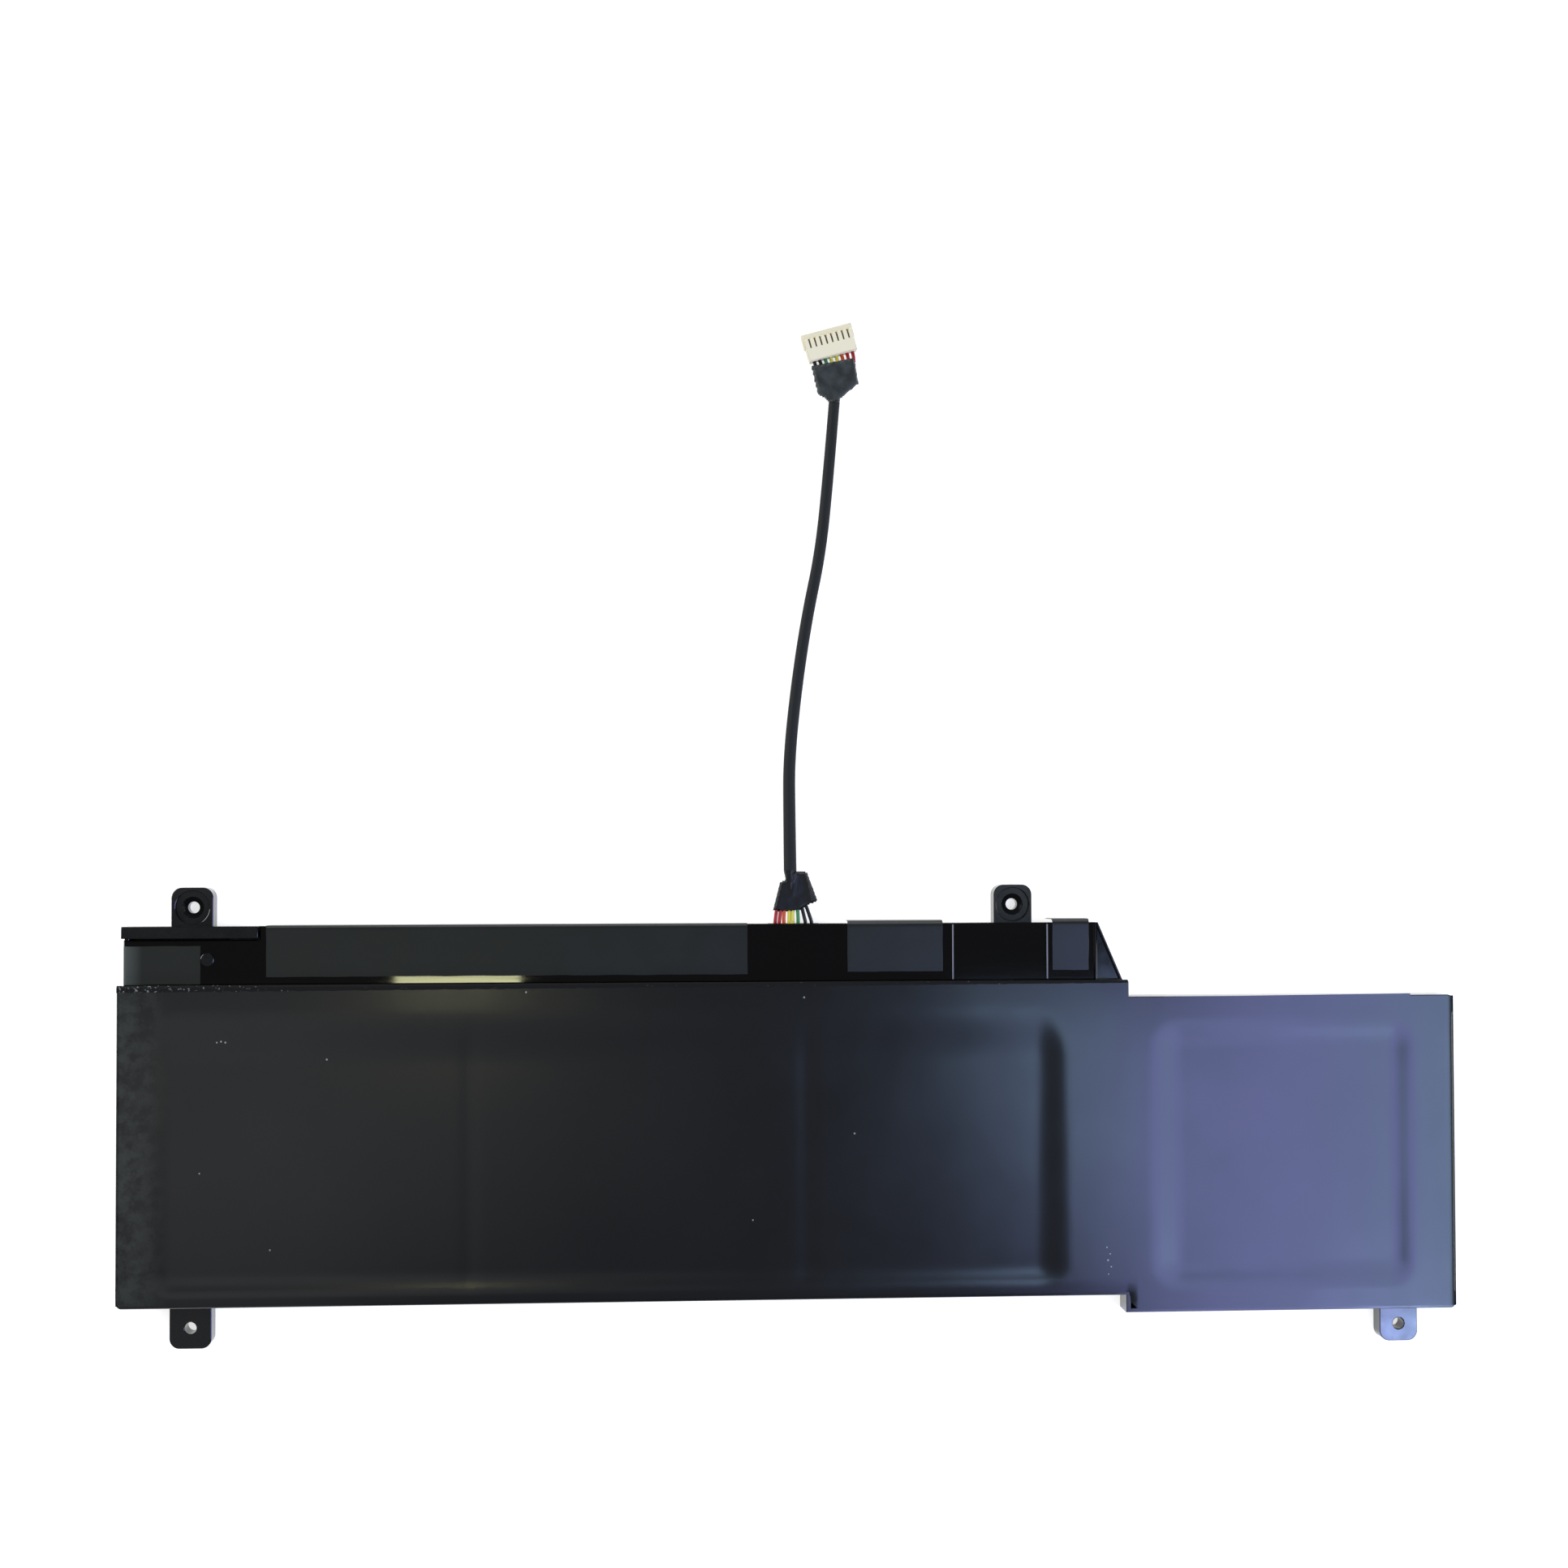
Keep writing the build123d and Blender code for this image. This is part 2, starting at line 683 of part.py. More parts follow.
def cover_film():
    """Black film over cells and walls, one gauge thick, turned down over both ends of the tray."""
    relief = film_relief()
    film = relief - Pos(0, 0, -film_gauge) * relief
    z_border = wall_height + film_gauge
    film += block(x_left, x_tray_left, y_front + film_skirt_margin, y_seam - film_rear_margin,
                  film_skirt_foot, z_border)
    film += block(x_tray_right, x_right, y_end_front + film_skirt_margin, y_end_rear - film_skirt_margin,
                  film_skirt_foot, z_border)
    return film


def rear_tape(x, length, depth):
    """Tape over the cover, turned down over the rail's outer face."""
    y0 = y_rail - depth
    section = polygon([
        (y0, z_cover),
        (y_rail, z_cover),
        (y_rail, tape_drop_foot),
        (y_rail + tape_gauge, tape_drop_foot),
        (y_rail + tape_gauge, z_cover + tape_gauge),
        (y0, z_cover + tape_gauge),
    ])
    return Pos(x, 0, 0) * extrude(Plane.YZ * section, length)


def left_tape():
    """Tape at the left end of the cover, turned down over the end of the rail."""
    y0 = y_seam + left_tape_from_seam
    x1 = x_rail + left_tape_length
    section = polygon([
        (x1, z_cover),
        (x_rail, z_cover),
        (x_rail, tape_drop_foot),
        (x_rail - tape_gauge, tape_drop_foot),
        (x_rail - tape_gauge, z_cover + tape_gauge),
        (x1, z_cover + tape_gauge),
    ])
    return Pos(0, y0 + left_tape_depth, 0) * extrude(Plane.XZ * section, left_tape_depth)


# Lead, sleeve, wraps and plug

def from_exit(points):
    """Points given from the middle of the leads' exit, put in their place."""
    return [(x_exit + point[0], y_rail + point[1], *point[2:]) for point in points]


def sleeve():
    """Sleeve over the leads: straight runs joined by arcs as large as the runs allow."""
    route = [Vector(*point) for point in from_exit(sleeve_route)]
    radii = []
    for before, corner, after in zip(route, route[1:], route[2:]):
        turn = math.radians((corner - before).get_angle(after - corner))
        shorter = min((corner - before).length, (after - corner).length)
        radii.append(arc_share * shorter / math.tan(turn / 2))
    print("sleeve radii:", [round(radius) for radius in radii])
    path = FilletPolyline(*route, radius=radii)
    tube = sweep(Plane(path @ 0, z_dir=path % 0) * Circle(sleeve_radius), path=path)
    plain_volume = math.pi * sleeve_radius ** 2 * path.length
    print("sleeve length:", round(path.length, 2), "volume share:", round(tube.volume / plain_volume, 5))
    return tube


def collar(end, beyond, length):
    """Round neck of a tape flag, which meets the end of the sleeve."""
    end = Vector(*end)
    back = end - Vector(*beyond)
    return Plane(end, z_dir=back) * Cylinder(wrap_collar_radius, length, align=FROM_BELOW)


def flag(plan, z0, z1):
    """Flat part of a tape flag, with its edges pressed thin."""
    solid = slab(polygon(from_exit(plan)), z0, z1)
    return chamfer(edges_at(solid, z0) + edges_at(solid, z1), wrap_edge)


def lead_at_board(at_exit, in_wrap):
    """Lead from the board, out through the rail's wall and on into the first wrap."""
    start = Vector(x_exit + at_exit, y_rail - lead_inside, z_lead)
    run = Vector(x_exit + in_wrap, y_rail + lead_end, z_lead) - start
    return Plane(start, z_dir=run) * Cylinder(lead_radius, run.length, align=FROM_BELOW)


def plug_frame():
    """Where the plug lies: its middle and its turn on the table."""
    x, y = from_exit([plug_place])[0]
    return Pos(x, y) * Rot(0, 0, plug_turn)


def contact_places():
    """Middles of the eight contacts along the plug."""
    return [(place - (len(leads) - 1) / 2) * contact_pitch for place in range(len(leads))]


def lead_at_plug(place):
    """The same lead's other end, from inside the second wrap to the back of the plug."""
    end = plug_frame() * Pos(place, -plug_back, lead_level) * Rot(90, 0, 0)
    return end * Cylinder(lead_radius, lead_tail, align=FROM_BELOW)


def plug_housing():
    """Plug body: a block with a lower nose, side ribs and contact slots with cross windows."""
    half = plug_width / 2
    body = block(-half, half, -plug_back, plug_step, 0, plug_height)
    body = chamfer(edges_at(body, plug_height), plug_edge)
    nose = block(-half, half, plug_step, plug_step + plug_nose, 0, plug_nose_height)
    body += chamfer(nose.edges().filter_by(Axis.X).sort_by(Axis.Y)[-2:], plug_edge)
    rib_back = plug_step + plug_nose - plug_side_rib_length
    for side in (-1, 1):
        edge = side * half
        rib = sorted((edge, edge + side * plug_side_rib))
        body += block(rib[0], rib[1], rib_back, plug_step + plug_nose, 0, plug_nose_height)
    z_slot = plug_height - slot_depth
    for place in contact_places():
        slot = area(place - slot_width / 2, place + slot_width / 2, -slot_back, plug_step)
        head = area(place - slot_head_width / 2, place + slot_head_width / 2,
                    plug_step - slot_head_length, plug_step)
        body -= slab(slot + head, z_slot, plug_height)
    return plug_frame() * body


def plug_contacts():
    """Eight contacts, each lying on the floor of its slot."""
    z = plug_height - slot_depth
    contacts = []
    for place in contact_places():
        contact = block(place - contact_width / 2, place + contact_width / 2, -slot_back, plug_step,
                        z, z + contact_height)
        contacts.append(plug_frame() * contact)
    return Compound(children=contacts)


def build():
    """Every piece of the pack, by name."""
    nodes = {"cell_tray": cell_tray()}
    for number, (x, y) in enumerate(zip(cell_lefts, cell_fronts), 1):
        nodes[f"cell_pad_{number}"] = cell_pad(x, y)
        nodes[f"cell_{number}"] = pouch_cell(x, y)
    for number, (x, y) in enumerate(zip(cell_lefts[:3], cell_fronts), 1):
        middle = x + cell_width / 2
        nodes[f"tab_negative_{number}"] = straight_tab(middle - tab_offset, y)
        nodes[f"tab_positive_{number}"] = straight_tab(middle + tab_offset, y)
    end_middle = cell_lefts[3] + cell_width / 2
    nodes["tab_negative_4"] = folded_tab(end_middle - tab_offset, 1)
    nodes["tab_positive_4"] = folded_tab(end_middle + tab_offset, 0)
    nodes["strip_negative"] = nickel_strip(1, end_middle - tab_offset)
    nodes["strip_positive"] = nickel_strip(0, end_middle + tab_offset)

    y_board_rear = y_board + board_width
    nodes["protection_board"] = block(x_board, x_board_end, y_board, y_board_rear, z_board, z_board_top)
    nodes.update(board_parts())

    nodes["board_cover"] = board_cover()
    nodes["cover_film"] = cover_film()
    nodes["rail_tape_left"] = left_tape()
    x_tape = x_left + board_tape_from_left
    board_tape_length = x_exit_left - board_tape_exit_clear - x_tape
    nodes["rail_tape_board"] = rear_tape(x_tape, board_tape_length, board_tape_depth)
    x_tape = x_exit_right + middle_tape_exit_clear
    nodes["rail_tape_middle"] = rear_tape(x_tape, middle_tape_length, middle_tape_depth)
    x_tape = x_step - right_tape_from_step
    nodes["rail_tape_right"] = rear_tape(x_tape, right_tape_length, right_tape_depth)

    nodes["lead_sleeve"] = sleeve()
    first, second = from_exit(sleeve_route[:2])
    last, before_last = from_exit([sleeve_route[-1], sleeve_route[-2]])
    half = lead_wrap_thickness / 2
    lead_wrap = flag(lead_wrap_plan, z_lead - half, z_lead + half)
    lead_wrap += collar(first, second, lead_wrap_collar)
    plug_wrap = flag(plug_wrap_plan, plug_wrap_base, plug_wrap_base + plug_wrap_thickness)
    plug_wrap += collar(last, before_last, plug_wrap_collar)
    # The bundle is turned over inside its sleeve, so the leads reach the plug in reverse order.
    for (name, (at_exit, in_wrap)), place in zip(leads.items(), reversed(contact_places())):
        board_end = lead_at_board(at_exit, in_wrap) - lead_wrap
        plug_end = lead_at_plug(place) - plug_wrap
        nodes[name] = Compound(children=[board_end, plug_end])
    nodes["lead_wrap"] = lead_wrap
    nodes["plug_wrap"] = plug_wrap
    nodes["plug_housing"] = plug_housing()
    nodes["plug_contacts"] = plug_contacts()
    return nodes


os.makedirs("parts", exist_ok=True)
for node_name, shape in build().items():
    export_step(shape, f"parts/{node_name}.step")
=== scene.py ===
"""Dresses the laptop battery pack on its fixed frame: finishes, film, tapes, leads, sleeve and plug.

The sections follow the pack as it is put together. Lengths are in metres, written as millimetres
times MM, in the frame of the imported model: X along the pack, Y towards the board rail, Z up.
"""

import math

import bmesh
import bpy
from mathutils import Matrix, Vector, noise


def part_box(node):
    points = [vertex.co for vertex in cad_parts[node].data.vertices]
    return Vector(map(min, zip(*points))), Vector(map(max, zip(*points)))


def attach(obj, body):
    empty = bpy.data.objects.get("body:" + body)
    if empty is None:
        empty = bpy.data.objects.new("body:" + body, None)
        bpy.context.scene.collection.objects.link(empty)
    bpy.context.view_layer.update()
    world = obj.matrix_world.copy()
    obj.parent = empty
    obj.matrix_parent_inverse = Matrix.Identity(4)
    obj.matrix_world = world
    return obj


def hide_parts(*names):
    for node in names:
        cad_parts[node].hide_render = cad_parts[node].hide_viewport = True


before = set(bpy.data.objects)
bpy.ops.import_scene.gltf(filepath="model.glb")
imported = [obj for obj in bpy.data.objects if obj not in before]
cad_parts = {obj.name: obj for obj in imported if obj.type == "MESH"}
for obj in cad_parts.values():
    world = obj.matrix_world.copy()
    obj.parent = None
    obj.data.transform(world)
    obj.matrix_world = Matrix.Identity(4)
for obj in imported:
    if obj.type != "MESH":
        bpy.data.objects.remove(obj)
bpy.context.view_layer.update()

# Tray: one black ABS moulding that carries the cell bays, the board rail and four screw ears.
# It leaves a polished mould with slightly round edges, so the faces are dark and the edges shine.
# The grain is drawn coarser than the real one, so that it shows.

MM = 0.001
edge_round = 0.16 * MM
lowest_round = 3.0 * MM
bevel_steps = 2
sharp_angle = math.radians(50)
flat_angle = math.radians(1)
weld_distance = 0.002 * MM
patch_range = (0.3, 0.7)
abs_flow = 4.0 * MM
abs_grain = 0.4 * MM
abs_grain_depth = 0.0015 * MM


def linear(code):
    """An sRGB hex colour as linear light, with full alpha."""
    shares = [int(code[place:place + 2], 16) / 255 for place in (1, 3, 5)]
    return (*[s / 12.92 if s <= 0.04045 else ((s + 0.055) / 1.055) ** 2.4 for s in shares], 1)


def add(tree, kind, inputs=None, **settings):
    """Adds a node with its settings; each input is a value or the output that feeds it."""
    node = tree.nodes.new(kind)
    for name, value in settings.items():
        setattr(node, name, value)
    for socket, value in (inputs or {}).items():
        if isinstance(value, bpy.types.NodeSocket):
            tree.links.new(value, node.inputs[socket])
        else:
            node.inputs[socket].default_value = value
    return node


def new_material(name, colour, roughness, ior=1.5, metallic=0.0, specular=0.5):
    """A named material: itself, its tree, its shader and the Object coordinates its patterns read."""
    material = bpy.data.materials.new(name)
    material.use_nodes = True
    tree = material.node_tree
    shader = tree.nodes["Principled BSDF"]
    shader.inputs["Base Color"].default_value = linear(colour)
    shader.inputs["Roughness"].default_value = roughness
    shader.inputs["IOR"].default_value = ior
    shader.inputs["Metallic"].default_value = metallic
    shader.inputs["Specular IOR Level"].default_value = specular
    place = add(tree, "ShaderNodeTexCoord").outputs["Object"]
    return material, tree, shader, place


def grain(tree, shader, place, size, depth):
    """Bump from a noise whose grains have a given size and height."""
    pattern = add(tree, "ShaderNodeTexNoise", {"Vector": place, "Scale": 1 / size, "Detail": 3})
    bump = add(tree, "ShaderNodeBump", {"Height": pattern.outputs["Fac"], "Distance": depth})
    tree.links.new(bump.outputs["Normal"], shader.inputs["Normal"])
    return pattern.outputs["Fac"]


def two_tones(tree, shader, fac, dark, light, low=0.35, high=0.65):
    """Base colour that runs between two tones along a pattern."""
    ramp = add(tree, "ShaderNodeValToRGB", {"Fac": fac})
    ramp.color_ramp.elements[0].position = low
    ramp.color_ramp.elements[0].color = linear(dark)
    ramp.color_ramp.elements[1].position = high
    ramp.color_ramp.elements[1].color = linear(light)
    tree.links.new(ramp.outputs["Color"], shader.inputs["Base Color"])


def uneven_gloss(tree, shader, place, size, smooth, rough):
    """Roughness that drifts between two values in patches of a given size."""
    pattern = add(tree, "ShaderNodeTexNoise", {"Vector": place, "Scale": 1 / size, "Detail": 4})
    gloss = add(tree, "ShaderNodeMapRange", {
        "Value": pattern.outputs["Fac"], "From Min": patch_range[0], "From Max": patch_range[1],
        "To Min": smooth, "To Max": rough,
    })
    tree.links.new(gloss.outputs["Result"], shader.inputs["Roughness"])


def set_piece(shape, name, material, slot, *nodes, smooth_below=40):
    """Makes a finished bmesh a piece that rides on the pack and stands for its CAD nodes."""
    mesh = bpy.data.meshes.new(name)
    shape.to_mesh(mesh)
    shape.free()
    if mesh.has_custom_normals:
        mesh.attributes.remove(mesh.attributes["custom_normal"])
    mesh.materials.append(material)
    mesh.shade_smooth()
    mesh.set_sharp_from_angle(angle=math.radians(smooth_below))
    piece = bpy.data.objects.new(name, mesh)
    bpy.context.scene.collection.objects.link(piece)
    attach(piece, "root")
    if nodes:
        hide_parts(*nodes)
    return piece


def merged_copy(node):
    """A CAD node's mesh with its loose facets merged into whole faces."""
    shape = bmesh.new()
    shape.from_mesh(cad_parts[node].data)
    bmesh.ops.remove_doubles(shape, verts=shape.verts, dist=weld_distance)
    bmesh.ops.dissolve_limit(shape, angle_limit=flat_angle, verts=shape.verts, edges=shape.edges)
    return shape


def soften(shape, radius, wanted):
    """Rounds the wanted outer edges of a merged copy."""
    edges = []
    for edge in shape.edges:
        if len(edge.link_faces) != 2 or not edge.is_convex:
            continue
        if edge.calc_face_angle() > sharp_angle and wanted(edge):
            edges.append(edge)
    bmesh.ops.bevel(
        shape, geom=edges, offset=radius, affect="EDGES", segments=bevel_steps, profile=0.5, material=-1,
        clamp_overlap=True,
    )


def dress(material, slot, *nodes):
    """Gives CAD nodes that stay as they are their finish."""
    for node in nodes:
        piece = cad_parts[node]
        piece.data.materials.clear()
        piece.data.materials.append(material)


def shows_from_above(edge):
    """Upper edges, which catch the light."""
    return min(vert.co.z for vert in edge.verts) > lowest_round


tray_abs, tree, shader, place = new_material("black_abs_polished_mould", "#101112", 0.16, 1.53)
speckle = grain(tree, shader, place, abs_grain, abs_grain_depth)
two_tones(tree, shader, speckle, "#0D0E0F", "#141617")
uneven_gloss(tree, shader, place, abs_flow, 0.09, 0.14)
tray = merged_copy("cell_tray")
soften(tray, edge_round, shows_from_above)
set_piece(tray, "tray_moulding", tray_abs, "tray_plastic", "cell_tray", smooth_below=20)

# Pouch cells on their double-sided pads: embossed aluminium laminate, dull silver, sealed at the edges.
# The pads are a matte pale sheet. The film and the walls hide all of it, so it keeps the CAD form.

cell_numbers = range(1, 5)
emboss_size = 0.8 * MM
emboss_depth = 0.03 * MM
pouch, tree, shader, place = new_material("pouch_laminate_embossed", "#B8BABD", 0.38, metallic=1.0)
grain(tree, shader, place, emboss_size, emboss_depth)
dress(pouch, "pouch_laminate", *[f"cell_{number}" for number in cell_numbers])

pad_grain = 1.2 * MM
pad_grain_depth = 0.02 * MM
pad_sheet, tree, shader, place = new_material("adhesive_sheet_matte", "#B5B5AE", 0.7)
grain(tree, shader, place, pad_grain, pad_grain_depth)
dress(pad_sheet, "pad_adhesive", *[f"cell_pad_{number}" for number in cell_numbers])

# Tabs and strips: rolled aluminium on the positive side, rolled nickel on the negative side.
# Both are thin strip stock with a fine rolled grain, welded to the board.

rolled_grain = 0.3 * MM
rolled_depth = 0.004 * MM
for metal, colour, nodes in (
    ("tab_aluminium", "#CACBCD", [f"tab_positive_{number}" for number in cell_numbers]),
    ("tab_nickel", "#ADA69C",
     ["strip_positive", "strip_negative"] + [f"tab_negative_{number}" for number in cell_numbers]),
):
    foil, tree, shader, place = new_material(f"rolled_{metal}", colour, 0.3, metallic=1.0)
    grain(tree, shader, place, rolled_grain, rolled_depth)
    dress(foil, metal, *nodes)

# Protection board: green solder-masked laminate with its fuse, transistors, resistor, chip and capacitors.
# It lies inside the rail under the cover. The mask shines softly over the weave; the parts on it are duller.

weave_size = 0.6 * MM
weave_depth = 0.01 * MM
resin_grain = 0.15 * MM
resin_depth = 0.01 * MM
chip_part_grain = 0.2 * MM
fired_depth = 0.006 * MM
laminate, tree, shader, place = new_material("solder_mask_laminate", "#1A4A2A", 0.35)
weave = grain(tree, shader, place, weave_size, weave_depth)
two_tones(tree, shader, weave, "#153F24", "#20583A")
dress(laminate, "board_laminate", "protection_board")

resin, tree, shader, place = new_material("moulded_epoxy_resin", "#131314", 0.5)
grain(tree, shader, place, resin_grain, resin_depth)
dress(resin, "chip_resin", "board_fuse", "charge_transistor", "discharge_transistor", "gauge_chip",
      "thermistor")

alloy, tree, shader, place = new_material("resistor_alloy_rolled", "#8C8783", 0.35, metallic=1.0)
grain(tree, shader, place, chip_part_grain, rolled_depth)
dress(alloy, "resistor_alloy", "sense_resistor")

ceramic, tree, shader, place = new_material("capacitor_ceramic_fired", "#A58E72", 0.45)
grain(tree, shader, place, chip_part_grain, fired_depth)
dress(ceramic, "capacitor_ceramic", "board_capacitors")

# Rail cover: a black ABS strip from a mirror-polished mould, so it mirrors the room and looks deep black.
# Handling leaves faint hairlines on the gloss, drawn as wide as they need to show. The tops of
# its two ribs are painted pale grey: a painted highlight of the light that their edges catch.

hairline_width = 0.3 * MM
hairline_length = 12.0 * MM
hairline_turn = 0.1
rib_level = 5.44 * MM
rib_top = 5.49 * MM
cover_tone = "#050506"
rib_highlight_tone = "#7C7E88"
cover_gloss = (0.02, 0.06)
cover_abs, tree, shader, place = new_material("black_abs_mirror_gloss", cover_tone, 0.05, 1.5)
stretched = add(tree, "ShaderNodeMapping", {
    "Vector": place, "Scale": (1 / hairline_length, 1 / hairline_width, 1 / hairline_length),
    "Rotation": (0, 0, hairline_turn),
})
streaks = add(tree, "ShaderNodeTexNoise", {"Vector": stretched.outputs["Vector"], "Scale": 1})
height = add(tree, "ShaderNodeSeparateXYZ", {"Vector": place}).outputs["Z"]
# Painted highlight: the rib tops, above rib_level, turn pale grey.
painted_rib_highlight = add(tree, "ShaderNodeMapRange", {"Value": height, "From Min": rib_level, "From Max": rib_top})
two_tones(tree, shader, painted_rib_highlight.outputs["Result"], cover_tone, rib_highlight_tone, 0, 1)
gloss = add(tree, "ShaderNodeMapRange", {
    "Value": streaks.outputs["Fac"], "To Min": cover_gloss[0], "To Max": cover_gloss[1],
})
tree.links.new(gloss.outputs["Result"], shader.inputs["Roughness"])
dress(cover_abs, "cover_plastic", "board_cover")

# Film: one black satin polyester sheet, stuck to the tray's walls and sunk a little over the cells.
# It dips between neighbouring cells, rolls off at the front edge and turns down over both ends.

film_low, film_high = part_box("cover_film")
film_gauge = 0.1 * MM
film_spacing = 1.0 * MM
film_wave = 0.02 * MM
broad_wave = 26 * MM
fine_wave = 8 * MM
cell_sunk = 0.4 * MM
main_front = -38.4 * MM
main_rear = film_high.y + 0.15 * MM
end_rear = 25.6 * MM
step_x = 72.5 * MM
step_cut = 2.0 * MM
roll_start = main_front + 1.7 * MM
roll_slope = 0.06
film_bend = 0.4 * MM
left_skirt = (-35.0 * MM, film_high.y)
right_skirt = (-38.8 * MM, 21.8 * MM)
flap_start = 80.5 * MM
flap_end = 136.0 * MM
flap_reach = 0.5 * MM
flap_taper = 1.0 * MM
flap_lead = 0.1 * MM
terrace = 5.5 * MM
cut_tolerance = 0.0005 * MM
grooves = [
    # middle, half width, depth
    (-70.4 * MM, 1.7 * MM, 0.07 * MM),
    (2.2 * MM, 1.9 * MM, 0.08 * MM),
]


def inside(outline, x, y):
    """Whether a place in plan is inside an outline."""
    crossings = 0
    for (x0, y0), (x1, y1) in zip(outline, outline[1:] + outline[:1]):
        if (y0 > y) != (y1 > y) and x < x0 + (y - y0) / (y1 - y0) * (x1 - x0):
            crossings += 1
    return crossings % 2 == 1


def cut_sheet(outline, spacing):
    """A flat grid of points at z = 0, cut to an outline."""
    x0 = min(x for x, _ in outline)
    x1 = max(x for x, _ in outline)
    y0 = min(y for _, y in outline)
    y1 = max(y for _, y in outline)
    sheet = bmesh.new()
    bmesh.ops.create_grid(
        sheet, x_segments=math.ceil((x1 - x0) / spacing), y_segments=math.ceil((y1 - y0) / spacing), size=0.5
    )
    bmesh.ops.scale(sheet, vec=(x1 - x0, y1 - y0, 1), verts=sheet.verts)
    bmesh.ops.translate(sheet, vec=((x0 + x1) / 2, (y0 + y1) / 2, 0), verts=sheet.verts)
    for (xa, ya), (xb, yb) in zip(outline, outline[1:] + outline[:1]):
        bmesh.ops.bisect_plane(
            sheet, geom=sheet.verts[:] + sheet.edges[:] + sheet.faces[:], dist=cut_tolerance,
            plane_co=(xa, ya, 0), plane_no=(yb - ya, xa - xb, 0),
        )
    outside = [face for face in sheet.faces if not inside(outline, *face.calc_center_median().xy)]
    bmesh.ops.delete(sheet, geom=outside, context="FACES")
    return sheet


def turn_down(sheet, axis, side, edge, radius):
    """Bends a sheet down over an edge: past it the sheet follows a round bend, then hangs."""
    for vert in sheet.verts:
        past = side * (vert.co[axis] - edge) + radius
        if past > 0:
            angle = min(past / radius, math.pi / 2)
            vert.co[axis] = edge + side * radius * (math.sin(angle) - 1)
            vert.co.z -= radius * (1 - math.cos(angle)) + max(past - radius * math.pi / 2, 0)


def hang_length(drop, radius):
    """How far a flat sheet has to pass an edge to hang down by a given drop."""
    return drop - radius * (2 - math.pi / 2)


def wave(x, y, size, seed=0):
    """Smooth unevenness of about one unit either way, over patches of a given size."""
    return noise.noise(Vector((x / size, y / size, seed)))


def flat_of(first, last, left, right, front, rear):
    """Edges of the film's flat over a row of cells, set in from the cells' sides."""
    low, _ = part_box(first)
    _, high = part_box(last)
    return low.x + left * MM, high.x - right * MM, low.y + front * MM, high.y - terrace - rear * MM


def sunk_share(x, y, flat, slopes):
    """How far the film has come down at a place: 1 on the flat over the cells, 0 on its border."""
    x0, x1, y0, y1 = flat
    left, right, front, rear = slopes
    across = max((x0 - x) / left, (x - x1) / right, 0) / MM
    along = max((y0 - y) / front, (y - y1) / rear, 0) / MM
    share = max(0, 1 - math.hypot(across, along))
    return share * share * (3 - 2 * share)


def film_height(x, y):
    """Height of the film's upper face over a place in plan."""
    main = sunk_share(x, y, main_flat, main_slopes)
    height = film_high.z - cell_sunk * max(main, sunk_share(x, y, end_flat, end_slopes))
    for middle, half, depth in grooves:
        height -= main * depth * math.exp(-((x - middle) / half) ** 2)
    height -= film_wave * (1 + 0.7 * wave(x, y, broad_wave) + 0.3 * wave(x, y, fine_wave, 3))
    if x < step_x:
        height -= roll_slope * max(0, roll_start - y)
    return height


main_flat = flat_of("cell_1", "cell_3", -1.4, 6.9, 0.0, 8.5)
main_slopes = (6.0, 7.0, 5.0, 12.0)
end_flat = flat_of("cell_4", "cell_4", 6.6, 6.2, 2.0, 4.0)
end_slopes = (7.5, 5.0, 6.0, 6.0)
skirt = hang_length(film_high.z - film_low.z, film_bend)
film_outline = [
    (film_low.x - skirt, left_skirt[0]),
    (film_low.x, left_skirt[0]),
    (film_low.x, main_front),
    (step_x, main_front),
    (step_x, film_low.y + step_cut),
    (step_x + step_cut, film_low.y),
    (film_high.x, film_low.y),
    (film_high.x, right_skirt[0]),
    (film_high.x + skirt, right_skirt[0]),
    (film_high.x + skirt, right_skirt[1]),
    (film_high.x, right_skirt[1]),
    (film_high.x, end_rear),
    (flap_end, end_rear),
    (flap_end - flap_taper, end_rear + flap_reach),
    (flap_start, end_rear + flap_lead),
    (flap_start, end_rear),
    (step_x, end_rear),
    (step_x, main_rear),
    (film_low.x, main_rear),
    (film_low.x, left_skirt[1]),
    (film_low.x - skirt, left_skirt[1]),
]
film = cut_sheet(film_outline, film_spacing)
for vert in film.verts:
    vert.co.z = film_height(vert.co.x, vert.co.y)
turn_down(film, 0, -1, film_low.x, film_bend)
turn_down(film, 0, 1, film_high.x, film_bend)
film.normal_update()
bmesh.ops.solidify(film, geom=film.faces, thickness=film_gauge)

# Satin polyester: a smooth black base under a faint haze, scuffed at the handled left end.
# The specks are dust that has stuck to it.
film_tone = "#161718"
scuff_tone = "#2B302E"
dust_tone = "#8C9290"
scuff_edge = (-134.0 * MM, -142.0 * MM)
scuff_size = 3.0 * MM
film_grain = 0.9 * MM
film_grain_depth = 0.0012 * MM
film_patch = 14 * MM
dust = [
    # X, Y and radius of each speck, in mm
    (-100.7, 13.5, 0.3), (-127.5, -10.5, 0.25), (-112.6, -26.9, 0.25), (12.5, -3.4, 0.3),
    (-9.6, -21.8, 0.25), (1.6, 26.1, 0.3), (-58.3, 27.6, 0.3), (-123.9, 17.3, 0.25), (-123.0, 17.5, 0.3),
    (-122.1, 17.3, 0.3), (67.5, -28.6, 0.25), (68.2, -30.0, 0.25), (67.7, -31.4, 0.3),
    (68.4, -32.8, 0.25), (67.8, -34.4, 0.2),
]
satin_film, tree, shader, place = new_material("black_polyester_satin", film_tone, 0.19, 1.5)
grain(tree, shader, place, film_grain, film_grain_depth)
uneven_gloss(tree, shader, place, film_patch, 0.17, 0.21)
across = add(tree, "ShaderNodeSeparateXYZ", {"Vector": place}).outputs["X"]
